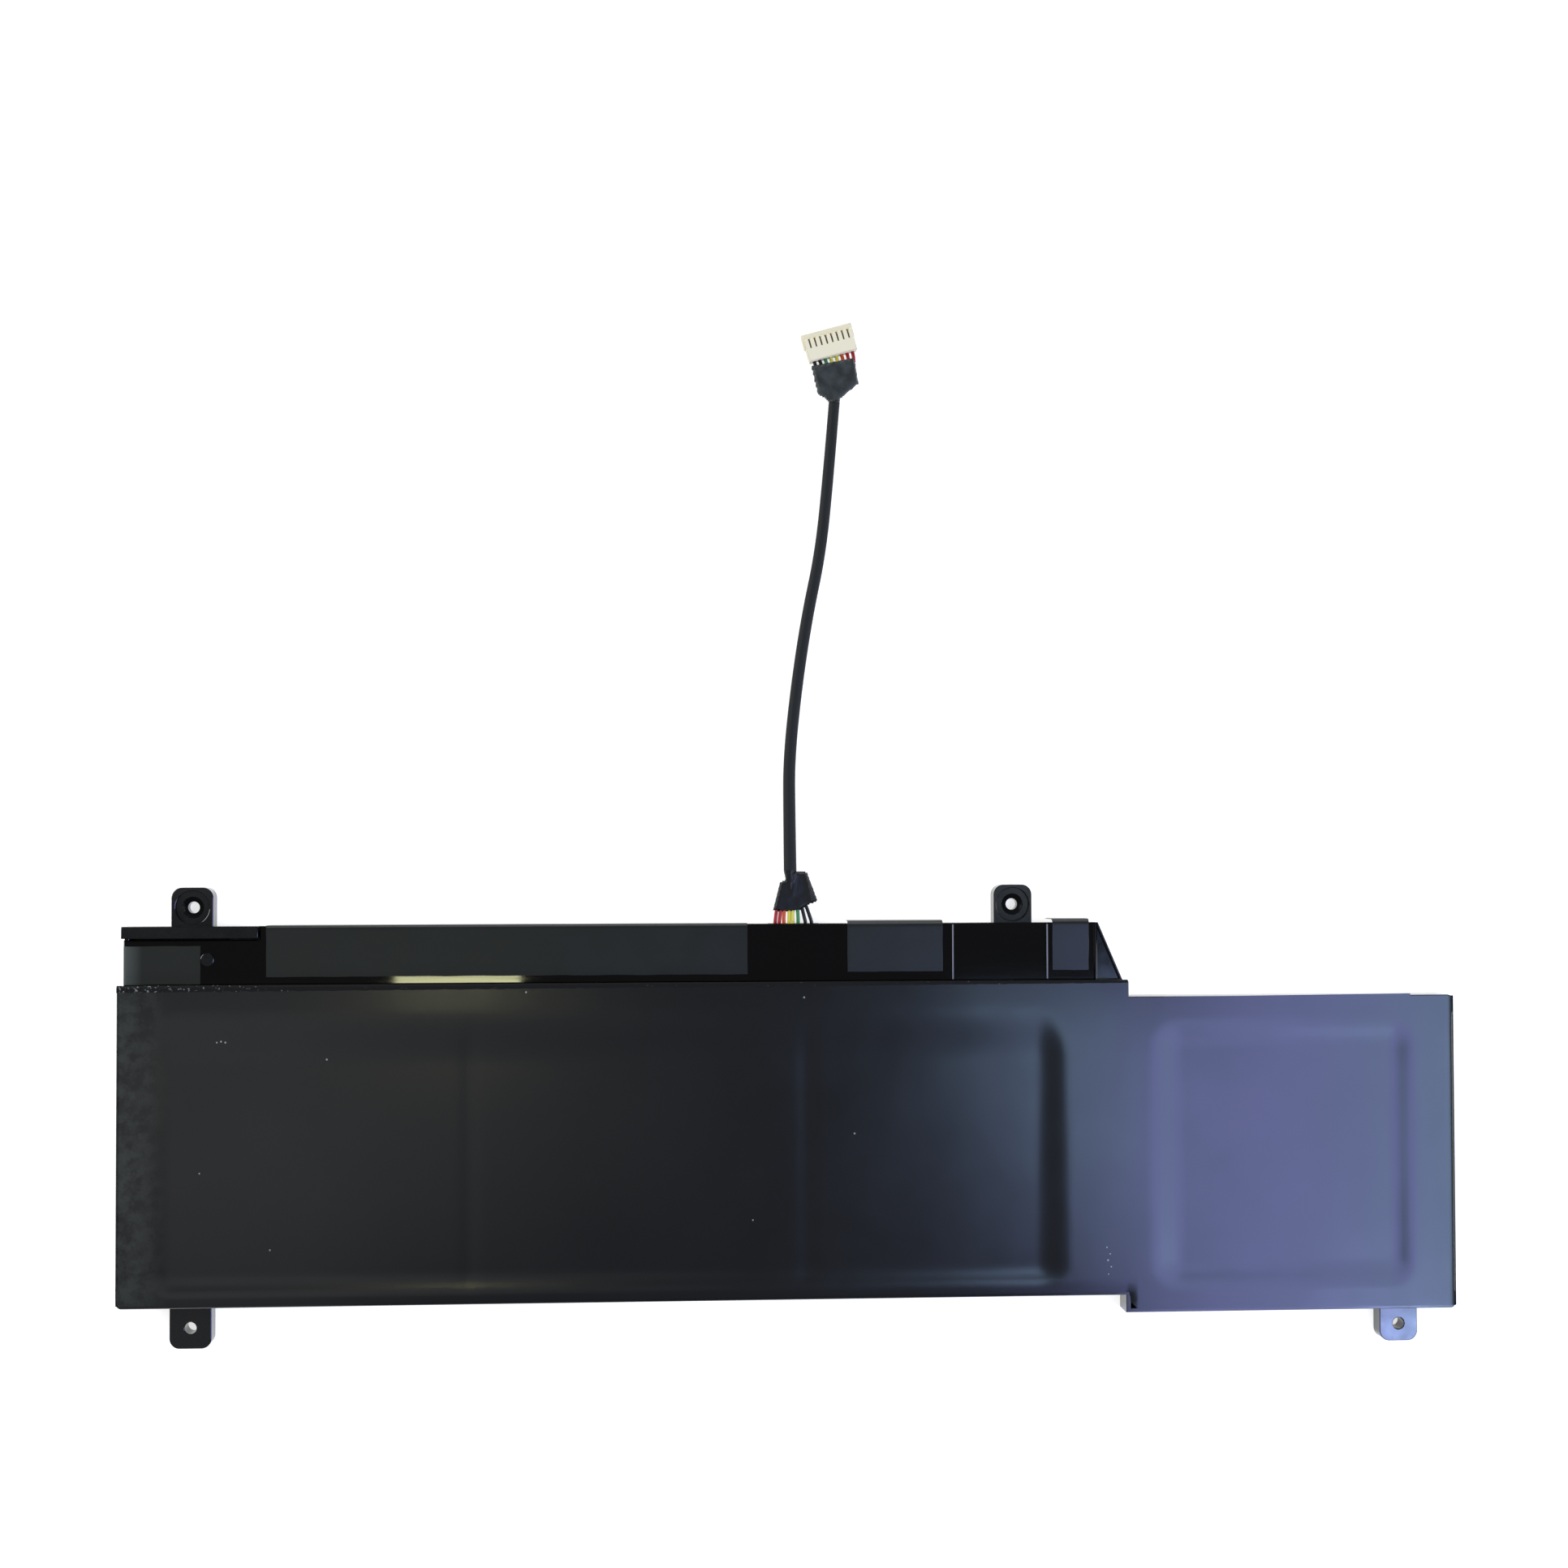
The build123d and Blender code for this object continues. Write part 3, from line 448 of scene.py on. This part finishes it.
handled = add(tree, "ShaderNodeMapRange", {
    "Value": across, "From Min": scuff_edge[0], "From Max": scuff_edge[1],
})
mottle = add(tree, "ShaderNodeTexNoise", {
    "Vector": place, "Scale": 1 / scuff_size, "Detail": 6, "Roughness": 0.65,
})
patches = add(tree, "ShaderNodeMapRange", {
    "Value": mottle.outputs["Fac"], "From Min": 0.4, "From Max": 0.6, "To Max": 0.5,
})
marks = add(tree, "ShaderNodeMath", {0: handled.outputs["Result"], 1: patches.outputs["Result"]},
            operation="MULTIPLY").outputs[0]
for x, y, radius in dust:
    spot = Vector((x, y, 0)) * MM
    spot.z = film_height(spot.x, spot.y)
    away = add(tree, "ShaderNodeVectorMath", {0: place, 1: spot}, operation="DISTANCE").outputs["Value"]
    speck = add(tree, "ShaderNodeMapRange", {
        "Value": away, "From Min": radius * MM, "From Max": 0.5 * radius * MM,
    })
    marks = add(tree, "ShaderNodeMath", {0: marks, 1: speck.outputs["Result"]}, operation="MAXIMUM")
    marks = marks.outputs[0]
ramp = add(tree, "ShaderNodeValToRGB", {"Fac": marks})
ramp.color_ramp.elements.new(0.5)
for element, tone in zip(ramp.color_ramp.elements, (film_tone, scuff_tone, dust_tone)):
    element.color = linear(tone)
tree.links.new(ramp.outputs["Color"], shader.inputs["Base Color"])
set_piece(film, "film_skin", satin_film, "film", "cover_film", smooth_below=60)

# Seam: a thin ragged black sheet where the film's rear edge meets the rail: partly black adhesive
# squeezed out there, partly a painted shade over the gap between the film and the rail.
# It is matte and deep black, broad at the left end and a line at the right, with a little pale dust in it.

seam_left = 28.05 * MM
seam_right = 28.8 * MM
seam_rear = 29.5 * MM
seam_drop = 0.4 * MM
seam_rag = 0.22 * MM
seam_gauge = 0.1 * MM
seam_spacing = 0.5 * MM
seam_wave = 1.7 * MM
seam_fade = 0.6
last_row = 0.99
fleck_size = 0.5 * MM
fleck_depth = 0.02 * MM
dusty_run = (-100.0 * MM, -140.0 * MM)
# The deep black is partly a painted shade for the shaded gap at the film's rear edge.
adhesive_and_shade_tone = "#050505"
fleck_tone = "#7A807D"
adhesive_and_shade, tree, shader, place = new_material("black_adhesive_and_painted_gap_shade", adhesive_and_shade_tone, 0.7, specular=0.25)
flecks = grain(tree, shader, place, fleck_size, fleck_depth)
across = add(tree, "ShaderNodeSeparateXYZ", {"Vector": place}).outputs["X"]
dusty = add(tree, "ShaderNodeMapRange", {
    "Value": across, "From Min": dusty_run[0], "From Max": dusty_run[1], "To Min": -0.08, "To Max": 0.04,
})
caught = add(tree, "ShaderNodeMath", {0: flecks, 1: dusty.outputs["Result"]}, operation="ADD")
two_tones(tree, shader, caught.outputs[0], adhesive_and_shade_tone, fleck_tone, 0.62, 0.7)
seam = bmesh.new()
bmesh.ops.create_grid(seam, x_segments=round((step_x - film_low.x) / seam_spacing), y_segments=3, size=0.5)
for vert in seam.verts:
    along = vert.co.x + 0.5
    x = film_low.x + (step_x - film_low.x) * along
    front = seam_left + (seam_right - seam_left) * along
    front += seam_rag * (1 - seam_fade * along) * wave(x, 0, seam_wave, 9)
    share = vert.co.y + 0.5
    vert.co = (x, front + (seam_rear - front) * share, film_high.z - seam_drop * (share > last_row))
seam.normal_update()
bmesh.ops.solidify(seam, geom=seam.faces, thickness=seam_gauge)
set_piece(seam, "seam_adhesive_and_shade", adhesive_and_shade, "film")

# Rail tapes: four pieces of black acetate cloth tape, pressed on by hand over the cover.
# Three turn down over the rail's outer face, two of them loosely, and one turns down over its left end.

tape_gauge = 0.12 * MM
tape_spacing = 0.6 * MM
tape_lift = 0.03 * MM
lift_size = 7 * MM
side_rag = 0.15 * MM
side_size = 5 * MM
front_rag = 0.12 * MM
front_size = 6 * MM
at_edge = 0.01 * MM
rail_tapes = [
    # piece, node, axis and side of its fold, round of the fold, gap behind it, skew of its tail, all in mm
    ("left_rail_tape", "rail_tape_left", 0, -1, 0.6, 0.0, 0.0),
    ("board_rail_tape", "rail_tape_board", 1, 1, 0.5, 0.0, 0.0),
    ("middle_rail_tape", "rail_tape_middle", 1, 1, 1.1, 0.5, 0.0),
    ("right_rail_tape", "rail_tape_right", 1, 1, 0.9, 0.7, 0.8),
]

# Acetate cloth: a dull black weave, painted a lighter grey at the left fold as a painted highlight of its
# bend.
# Its real threads are too fine to show, so they are drawn half a millimetre apart.
thread = 0.5 * MM
thread_depth = 0.008 * MM
cloth_patch = 9 * MM
cloth_tone = "#1D201E"
fold_highlight_tone = "#4A514E"
fold_highlight_run = (-140.0 * MM, -144.0 * MM)
cloth_tape, tree, shader, place = new_material("acetate_cloth_tape", cloth_tone, 0.34, specular=0.36)
grain(tree, shader, place, thread, thread_depth)
uneven_gloss(tree, shader, place, cloth_patch, 0.3, 0.38)
across = add(tree, "ShaderNodeSeparateXYZ", {"Vector": place}).outputs["X"]
# Painted highlight: the tape turns lighter grey towards the left fold.
painted_fold_highlight = add(tree, "ShaderNodeMapRange", {
    "Value": across, "From Min": fold_highlight_run[0], "From Max": fold_highlight_run[1],
})
two_tones(tree, shader, painted_fold_highlight.outputs["Result"], cloth_tone, fold_highlight_tone, 0, 1)
for seed, (name, node, axis, side, bend, gap, skew) in enumerate(rail_tapes, 1):
    low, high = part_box(node)
    corners = [low.copy(), high.copy()]
    edge = (high[axis] if side > 0 else low[axis]) + side * gap * MM
    past = hang_length(high.z - low.z, bend * MM) + gap * MM
    corners[1 if side > 0 else 0][axis] += side * past
    (x0, y0, _), (x1, y1, _) = corners
    tape = cut_sheet([(x0, y0), (x1, y0), (x1, y1), (x0, y1)], tape_spacing)
    for vert in tape.verts:
        x, y, _ = vert.co
        vert.co.z = high.z + tape_lift * max(0, wave(x, y, lift_size, seed))
        if axis == 1 and min(x - x0, x1 - x) < at_edge:
            vert.co.x += side_rag * wave(0, y, side_size, seed + (x > x0 + at_edge))
        if y - y0 < at_edge or axis == 0 and y1 - y < at_edge:
            vert.co.y += front_rag * wave(x, 0, front_size, seed + 7)
    turn_down(tape, axis, side, edge, bend * MM)
    for vert in tape.verts:
        drop = max(0, high.z - vert.co.z) / (high.z - low.z)
        vert.co.x -= skew * MM * drop * (x1 - vert.co.x) / (x1 - x0)
    tape.normal_update()
    bmesh.ops.solidify(tape, geom=tape.faces, thickness=tape_gauge)
    set_piece(tape, name, cloth_tape, "rail_tape", node, smooth_below=60)

# Leads: eight stranded wires in thin coloured PVC, from the board through the rail's wall to the plug.
# Each shows twice: between the rail and the first tape flag, and between the second flag and the plug.
# The extruded PVC gives each a smooth skin with a soft shine.

lead_radius = 0.4 * MM
rail_face = 42.0 * MM
exit_x = -0.5 * MM
lead_level = 2.8 * MM
lead_inside = 5.0 * MM
lead_end = 4.4 * MM
lead_wall = 0.5 * MM
lead_bow = 1.8 * MM
lead_rise = 0.1 * MM
lead_grain = 0.5 * MM
lead_grain_depth = 0.006 * MM
plug_level = 1.6 * MM
plug_back = -3.6 * MM
lead_tail = 2.4 * MM
lead_gather = 0.93
contact_pitch = 1.25 * MM
plug_frame = Matrix.Translation((7.87 * MM, 170.23 * MM, 0)) @ Matrix.Rotation(math.radians(15.5), 4, "Z")
leads = [
    # node, slot, colour, X at the exit and in the wrap, sideways bow between them, in mm
    ("lead_red_1", "lead_red", "#A9131B", -4.0, -3.4, -0.05),
    ("lead_red_2", "lead_red", "#B5181F", -3.15, -2.55, 0.05),
    ("lead_orange", "lead_orange", "#D2521F", -2.0, -1.7, -0.2),
    ("lead_yellow_1", "lead_yellow", "#E6DB52", -0.95, -0.85, 0.1),
    ("lead_yellow_2", "lead_yellow", "#E9E06A", 0.0, 0.0, -0.1),
    ("lead_green", "lead_green", "#3E8A55", 1.1, 0.85, 0.15),
    ("lead_black_1", "lead_black", "#0C0C0D", 2.9, 1.75, 0.0),
    ("lead_black_2", "lead_black", "#0A0A0B", 4.3, 2.65, 0.1),
]


def round_line(name, radius, runs, swell=None):
    """A round wire or tube as a curve, with one smooth spline for each run of points."""
    curve = bpy.data.curves.new(name, "CURVE")
    curve.dimensions = "3D"
    curve.bevel_depth = radius
    curve.bevel_resolution = 5
    curve.resolution_u = 12
    curve.use_fill_caps = True
    for run in runs:
        line = curve.splines.new("NURBS")
        line.points.add(len(run) - 1)
        for number, spot in enumerate(run):
            line.points[number].co = (*spot, 1)
            line.points[number].radius = swell[number] if swell else 1
        line.order_u = 3
        line.use_endpoint_u = True
    return curve


def set_curve(curve, material, slot, *nodes):
    """Makes a curve a piece that rides on the pack and stands for its CAD nodes."""
    curve.materials.append(material)
    piece = bpy.data.objects.new(curve.name, curve)
    bpy.context.scene.collection.objects.link(piece)
    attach(piece, "root")
    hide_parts(*nodes)
    return piece


for number, (node, slot, colour, at_exit, in_wrap, bow) in enumerate(leads):
    pvc, tree, shader, place = new_material(f"{node}_pvc", colour, 0.34)
    grain(tree, shader, place, lead_grain, lead_grain_depth)
    x0 = exit_x + at_exit * MM
    x1 = exit_x + in_wrap * MM
    middle = (x0 + x1) / 2 + bow * MM
    board_run = [
        (x0, rail_face - lead_inside, lead_level),
        (x0, rail_face - lead_wall, lead_level),
        (middle, rail_face + lead_bow, lead_level + lead_rise),
        (x1, rail_face + lead_end, lead_level),
    ]
    along = ((len(leads) - 1) / 2 - number) * contact_pitch
    plug_run = [
        plug_frame @ Vector((along, plug_back, plug_level)),
        plug_frame @ Vector((along, plug_back - lead_tail / 2, plug_level + lead_rise)),
        plug_frame @ Vector((along * lead_gather, plug_back - lead_tail, plug_level)),
    ]
    wire = round_line(f"{node}_wire", lead_radius, [board_run, plug_run])
    set_curve(wire, pvc, slot, node)

# Tape flags: pieces of black tape folded round the leads at both ends of the sleeve.
# Their loose edges are pressed flat together, and the leads show through as low ridges.

flag_spacing = 0.3 * MM
flag_edge = 0.14 * MM
flag_press = 0.5 * MM
flag_ripple = 0.06 * MM
ripple_size = 1.6 * MM
crease_reach = 0.1
neck_taper = 0.4
lead_flag_gauge = 1.5 * MM
plug_flag_gauge = 2.2 * MM
sleeve_route = [
    # from one flag to the other, in mm
    (-1.10, 53.5, 2.75),
    (-1.18, 66.0, 1.75),
    (-1.20, 78.0, 1.40),
    (0.50, 94.0, 1.38),
    (2.90, 109.5, 1.37),
    (5.80, 123.0, 1.37),
    (7.50, 138.5, 1.40),
    (9.00, 156.5, 1.60),
]
lead_flag_plan = [
    (-3.34, 50.92), (-1.84, 51.71), (0.35, 53.32), (2.59, 53.13), (4.88, 46.9),
    (2.76, 45.97), (1.0, 44.86), (-1.38, 44.57), (-4.91, 44.77),
]
plug_flag_plan = [
    (4.03, 164.62), (13.47, 166.55), (14.37, 160.87), (10.41, 157.53), (10.14, 156.88),
    (7.84, 156.59), (7.3, 157.41), (5.39, 158.49), (4.58, 162.05),
]

# Cloth tape: dull black at the rail, and worn to a dark grey with small wrinkles at the plug.
flag_thread_depth = 0.015 * MM
wrinkle_size = 2.4 * MM
wrinkle_depth = 0.05 * MM
lead_flag_tape, tree, shader, place = new_material("folded_cloth_tape", "#131414", 0.4, specular=0.35)
grain(tree, shader, place, thread, flag_thread_depth)
plug_flag_tape, tree, shader, place = new_material("worn_cloth_tape", "#2F3434", 0.45, specular=0.35)
wrinkles = grain(tree, shader, place, wrinkle_size, wrinkle_depth)
two_tones(tree, shader, wrinkles, "#282C2C", "#3A4040")


def edge_distance(outline, x, y):
    """Distance from a place in plan to the nearest edge of an outline."""
    spot = Vector((x, y))
    nearest = 1.0
    for start, end in zip(outline, outline[1:] + outline[:1]):
        start = Vector(start)
        run = Vector(end) - start
        share = min(max((spot - start).dot(run) / run.length_squared, 0), 1)
        nearest = min(nearest, (spot - start - share * run).length)
    return nearest


def folded_flag(plan, level, thickness, creases, end, before, radius, length):
    """A tape flag: two skins that meet at the outline and part over the leads and the sleeve's end."""
    run = (Vector(end) - Vector(before)).normalized()
    outline = [(x * MM, y * MM) for x, y in plan]
    flag = cut_sheet(outline, flag_spacing)
    lower = bmesh.ops.extrude_face_region(flag, geom=flag.faces[:])
    under = {vert for vert in lower["geom"] if isinstance(vert, bmesh.types.BMVert)}
    for vert in flag.verts:
        x, y, _ = vert.co
        depth = min(edge_distance(outline, x, y) / flag_press, 1)
        half = flag_edge / 2 + (thickness / 2 - flag_edge / 2) * math.sin(depth * math.pi / 2)
        away = Vector((x, y, 0)) - Vector(end[:2]).to_3d() * MM
        inside_run = away.dot(run)
        beside = abs(away.cross(run).z)
        bulge = radius * math.sqrt(max(0, 1 - max(0, inside_run) / length))
        if beside < bulge + flag_edge:
            half = max(half, math.sqrt((bulge + flag_edge) ** 2 - beside ** 2))
        if vert in under:
            vert.co.z = level + half
            for (xa, ya), (xb, yb), height, width in creases:
                start = Vector((xa, ya)) * MM
                crease = Vector((xb, yb)) * MM - start
                share = (Vector((x, y)) - start).dot(crease) / crease.length_squared
                if -crease_reach < share < 1 + crease_reach:
                    off = (Vector((x, y)) - start - share * crease).length
                    vert.co.z += depth * height * MM * math.exp(-(off / (width * MM)) ** 2)
            vert.co.z += depth * flag_ripple * wave(x, y, ripple_size, 5)
        else:
            vert.co.z = level - half
    bmesh.ops.recalc_face_normals(flag, faces=flag.faces)
    return flag


def add_neck(flag, end, before, radius, length):
    """Adds the round neck under a tape flag, which takes the end of the sleeve."""
    run = (Vector(end) - Vector(before)).normalized()
    middle = Vector(end) * MM + run * length / 2
    place = Matrix.Translation(middle) @ run.to_track_quat("Z", "Y").to_matrix().to_4x4()
    bmesh.ops.create_cone(
        flag, cap_ends=True, segments=32, radius1=radius, radius2=radius * neck_taper, depth=length,
        matrix=place,
    )


# Each crease: its two ends in plan, its height and its half width, in mm.
# Each neck: the sleeve's last point and the one before it, then the neck's radius and length.
lead_creases = [((0.2, 53.2), (-0.7, 48.5), 0.1, 0.5), ((2.2, 53.0), (3.5, 46.4), 0.2, 0.3)]
rail_neck = (sleeve_route[0], sleeve_route[1], 1.42 * MM, 4.0 * MM)
flag = folded_flag(lead_flag_plan, lead_level, lead_flag_gauge, lead_creases, *rail_neck)
add_neck(flag, *rail_neck)
lead_flag = set_piece(flag, "lead_flag", lead_flag_tape, "wrap_tape", "lead_wrap")
plug_creases = [((6.0, 163.2), (9.4, 165.2), 0.12, 0.7), ((10.2, 164.6), (12.8, 161.4), 0.1, 0.6)]
plug_neck = (sleeve_route[-1], sleeve_route[-2], 1.24 * MM, 3.0 * MM)
flag = folded_flag(plug_flag_plan, plug_level, plug_flag_gauge, plug_creases, *plug_neck)
add_neck(flag, *plug_neck)
plug_flag = set_piece(flag, "plug_flag", plug_flag_tape, "wrap_tape", "plug_wrap")

# Sleeve: a thin black PVC tube over the eight leads, from one tape flag to the other.
# It is soft, so it lies in a long shallow bend and narrows a little towards the plug.
# Its skin is dull, and the leads inside press long low ridges into it.

sleeve_radius = 1.3 * MM
sleeve_swell = [1.08, 1.05, 1.02, 1.0, 1.0, 0.98, 0.96, 0.93]
ridge_width = 0.6 * MM
ridge_length = 16.0 * MM
ridge_depth = 0.04 * MM
sleeve_pvc, tree, shader, place = new_material("black_pvc_tube_dull", "#242627", 0.55, specular=0.15)
along_sleeve = add(tree, "ShaderNodeMapping", {
    "Vector": place, "Scale": (1 / ridge_width, 1 / ridge_length, 1 / ridge_width),
})
ridges = add(tree, "ShaderNodeTexNoise", {"Vector": along_sleeve.outputs["Vector"], "Scale": 1, "Detail": 3})
relief = add(tree, "ShaderNodeBump", {"Height": ridges.outputs["Fac"], "Distance": ridge_depth})
tree.links.new(relief.outputs["Normal"], shader.inputs["Normal"])
tube = round_line("lead_tube", sleeve_radius, [[Vector(spot) * MM for spot in sleeve_route]], sleeve_swell)
lead_tube = set_curve(tube, sleeve_pvc, "sleeve", "lead_sleeve")

# Plug: an ivory nylon housing with eight slots, each with a tinned contact on its floor.
# It is moulded in one piece, with slightly round edges and the faint haze of unfilled nylon.
# The contacts are a dull, warm grey metal.

plug_round = 0.1 * MM
shortest_round = 0.5 * MM
nylon_grain = 0.5 * MM
nylon_depth = 0.01 * MM
contact_grain = 0.2 * MM
nylon, tree, shader, place = new_material("ivory_nylon_moulded", "#EFE9CC", 0.42)
grain(tree, shader, place, nylon_grain, nylon_depth)
plug = merged_copy("plug_housing")
soften(plug, plug_round, lambda edge: edge.calc_length() > shortest_round)
plug_body = set_piece(plug, "plug_body", nylon, "plug_nylon", "plug_housing")
tin, tree, shader, place = new_material("tinned_contact", "#8F8468", 0.4, metallic=1.0)
grain(tree, shader, place, contact_grain, rolled_depth)
dress(tin, "contact_metal", "plug_contacts")

# Studio: a white floor, four soft lamps low round the pack, and panels that the film and the cover mirror.
# The camera looks almost straight down, from the place of the photograph.

camera_lens = 52.92
camera_sensor = 36
camera_spot = Vector((-33.1, 58.6, 505.7)) * MM
camera_turn = (1.581, -3.490, -0.157)
floor_size = 6.0
floor_glow = 0.72
room_glow = 0.1
softbox_depth = 0.5
scene = bpy.context.scene
scene.view_settings.view_transform = "Standard"
camera_data = bpy.data.cameras.new("camera")
camera_data.lens = camera_lens
camera_data.sensor_width = camera_sensor
camera_data.clip_start = 0.01
camera = bpy.data.objects.new("camera", camera_data)
camera.location = camera_spot
camera.rotation_euler = [math.radians(angle) for angle in camera_turn]
scene.collection.objects.link(camera)
scene.camera = camera

floor_shape = bmesh.new()
bmesh.ops.create_grid(floor_shape, x_segments=1, y_segments=1, size=floor_size / 2)
floor_mesh = bpy.data.meshes.new("floor")
floor_shape.to_mesh(floor_mesh)
floor_shape.free()
floor = bpy.data.objects.new("floor", floor_mesh)
scene.collection.objects.link(floor)
floor_paint, tree, shader, _ = new_material("white_floor", "#E6E6E6", 0.9)
rays = add(tree, "ShaderNodeLightPath")
seen = add(tree, "ShaderNodeMath", {0: rays.outputs["Is Camera Ray"], 1: rays.outputs["Is Glossy Ray"]},
           operation="MAXIMUM")
seen = add(tree, "ShaderNodeMath", {0: seen.outputs[0], 1: rays.outputs["Is Transmission Ray"]},
           operation="MAXIMUM")
glow = add(tree, "ShaderNodeMath", {0: seen.outputs[0], 1: floor_glow}, operation="MULTIPLY")
shader.inputs["Emission Color"].default_value = (1, 1, 1, 1)
tree.links.new(glow.outputs[0], shader.inputs["Emission Strength"])
floor_mesh.materials.append(floor_paint)

world = bpy.data.worlds.new("room")
world.use_nodes = True
world.node_tree.nodes["Background"].inputs["Color"].default_value = (1, 1, 1, 1)
world.node_tree.nodes["Background"].inputs["Strength"].default_value = room_glow
scene.world = world


def softbox(name, spot, aim, width, depth, watts, colour):
    """A rectangular soft lamp that faces a point."""
    lamp_data = bpy.data.lights.new(name, "AREA")
    lamp_data.shape = "RECTANGLE"
    lamp_data.size = width
    lamp_data.size_y = depth
    lamp_data.energy = watts
    lamp_data.color = linear(colour)[:3]
    lamp = bpy.data.objects.new(name, lamp_data)
    lamp.location = spot
    lamp.rotation_euler = (Vector(aim) - Vector(spot)).to_track_quat("-Z", "Y").to_euler()
    scene.collection.objects.link(lamp)


# Soft lamps round the pack: place, aim, width and watts.
for name, spot, aim, width, watts in (
    ("left_softbox", (-1.1, 0.5, 0.62), (0, 0.05, 0), 0.8, 8),
    ("right_softbox", (1.25, 0.2, 0.62), (0, 0, 0), 1.1, 6),
    ("front_softbox", (0.0, -1.3, 0.65), (0, 0, 0), 1.3, 8),
    ("rear_softbox", (0.0, 1.3, 0.65), (0, 0, 0), 1.3, 9),
):
    softbox(name, spot, aim, width, softbox_depth, watts, "#FFFFFF")

# Level panels that face down: their edges in X and Y, height, brightness in a mirror, and colour.
for name, x0, x1, y0, y1, height, radiance, colour in (
    ("left_panel", -0.65, -0.17, -0.13, -0.012, 0.6, 0.5, "#FFFFFF"),
    ("middle_panel", -0.17, -0.09, -0.13, -0.012, 0.6, 0.32, "#FFFFFF"),
    ("inner_panel", -0.09, 0.0, -0.11, -0.012, 0.6, 0.17, "#FFFFFF"),
    ("front_left_panel", -0.65, -0.17, -0.3, -0.13, 0.6, 0.2, "#FFFFFF"),
    ("rear_left_panel", -0.65, -0.17, 0.032, 0.2, 0.6, 0.32, "#FFFFFF"),
    ("ear_panel", 0.12, 0.17, 0.027, 0.06, 0.6, 0.9, "#E8F2FF"),
    ("cool_rear_panel", 0.118, 0.2, -0.06, -0.008, 0.6, 4.6, "#AFD4FF"),
    ("cool_middle_panel", 0.145, 0.2, -0.1, -0.06, 0.6, 4.6, "#AFD4FF"),
    ("cool_front_panel", 0.17, 0.2, -0.14, -0.1, 0.6, 4.6, "#AFD4FF"),
    ("end_panel", 0.2, 0.33, -0.26, -0.012, 0.6, 7.5, "#A8B1FF"),
    ("end_rear_panel", 0.24, 0.33, -0.012, 0.06, 0.6, 7.5, "#A8B1FF"),
    ("right_panel", 0.33, 0.5, -0.26, 0.06, 0.6, 6.8, "#B0D1FF"),
    ("end_ear_panel", 0.31, 0.35, -0.195, -0.165, 0.599, 20, "#ABC1FF"),
    ("warm_lamp", -0.139, -0.086, -0.001, 0.0045, 0.5, 15, "#FFFFC6"),
):
    watts = radiance * math.pi * (x1 - x0) * (y1 - y0)
    spot = ((x0 + x1) / 2, (y0 + y1) / 2, height)
    softbox(name, spot, (spot[0], spot[1], 0), x1 - x0, y1 - y0, watts, colour)
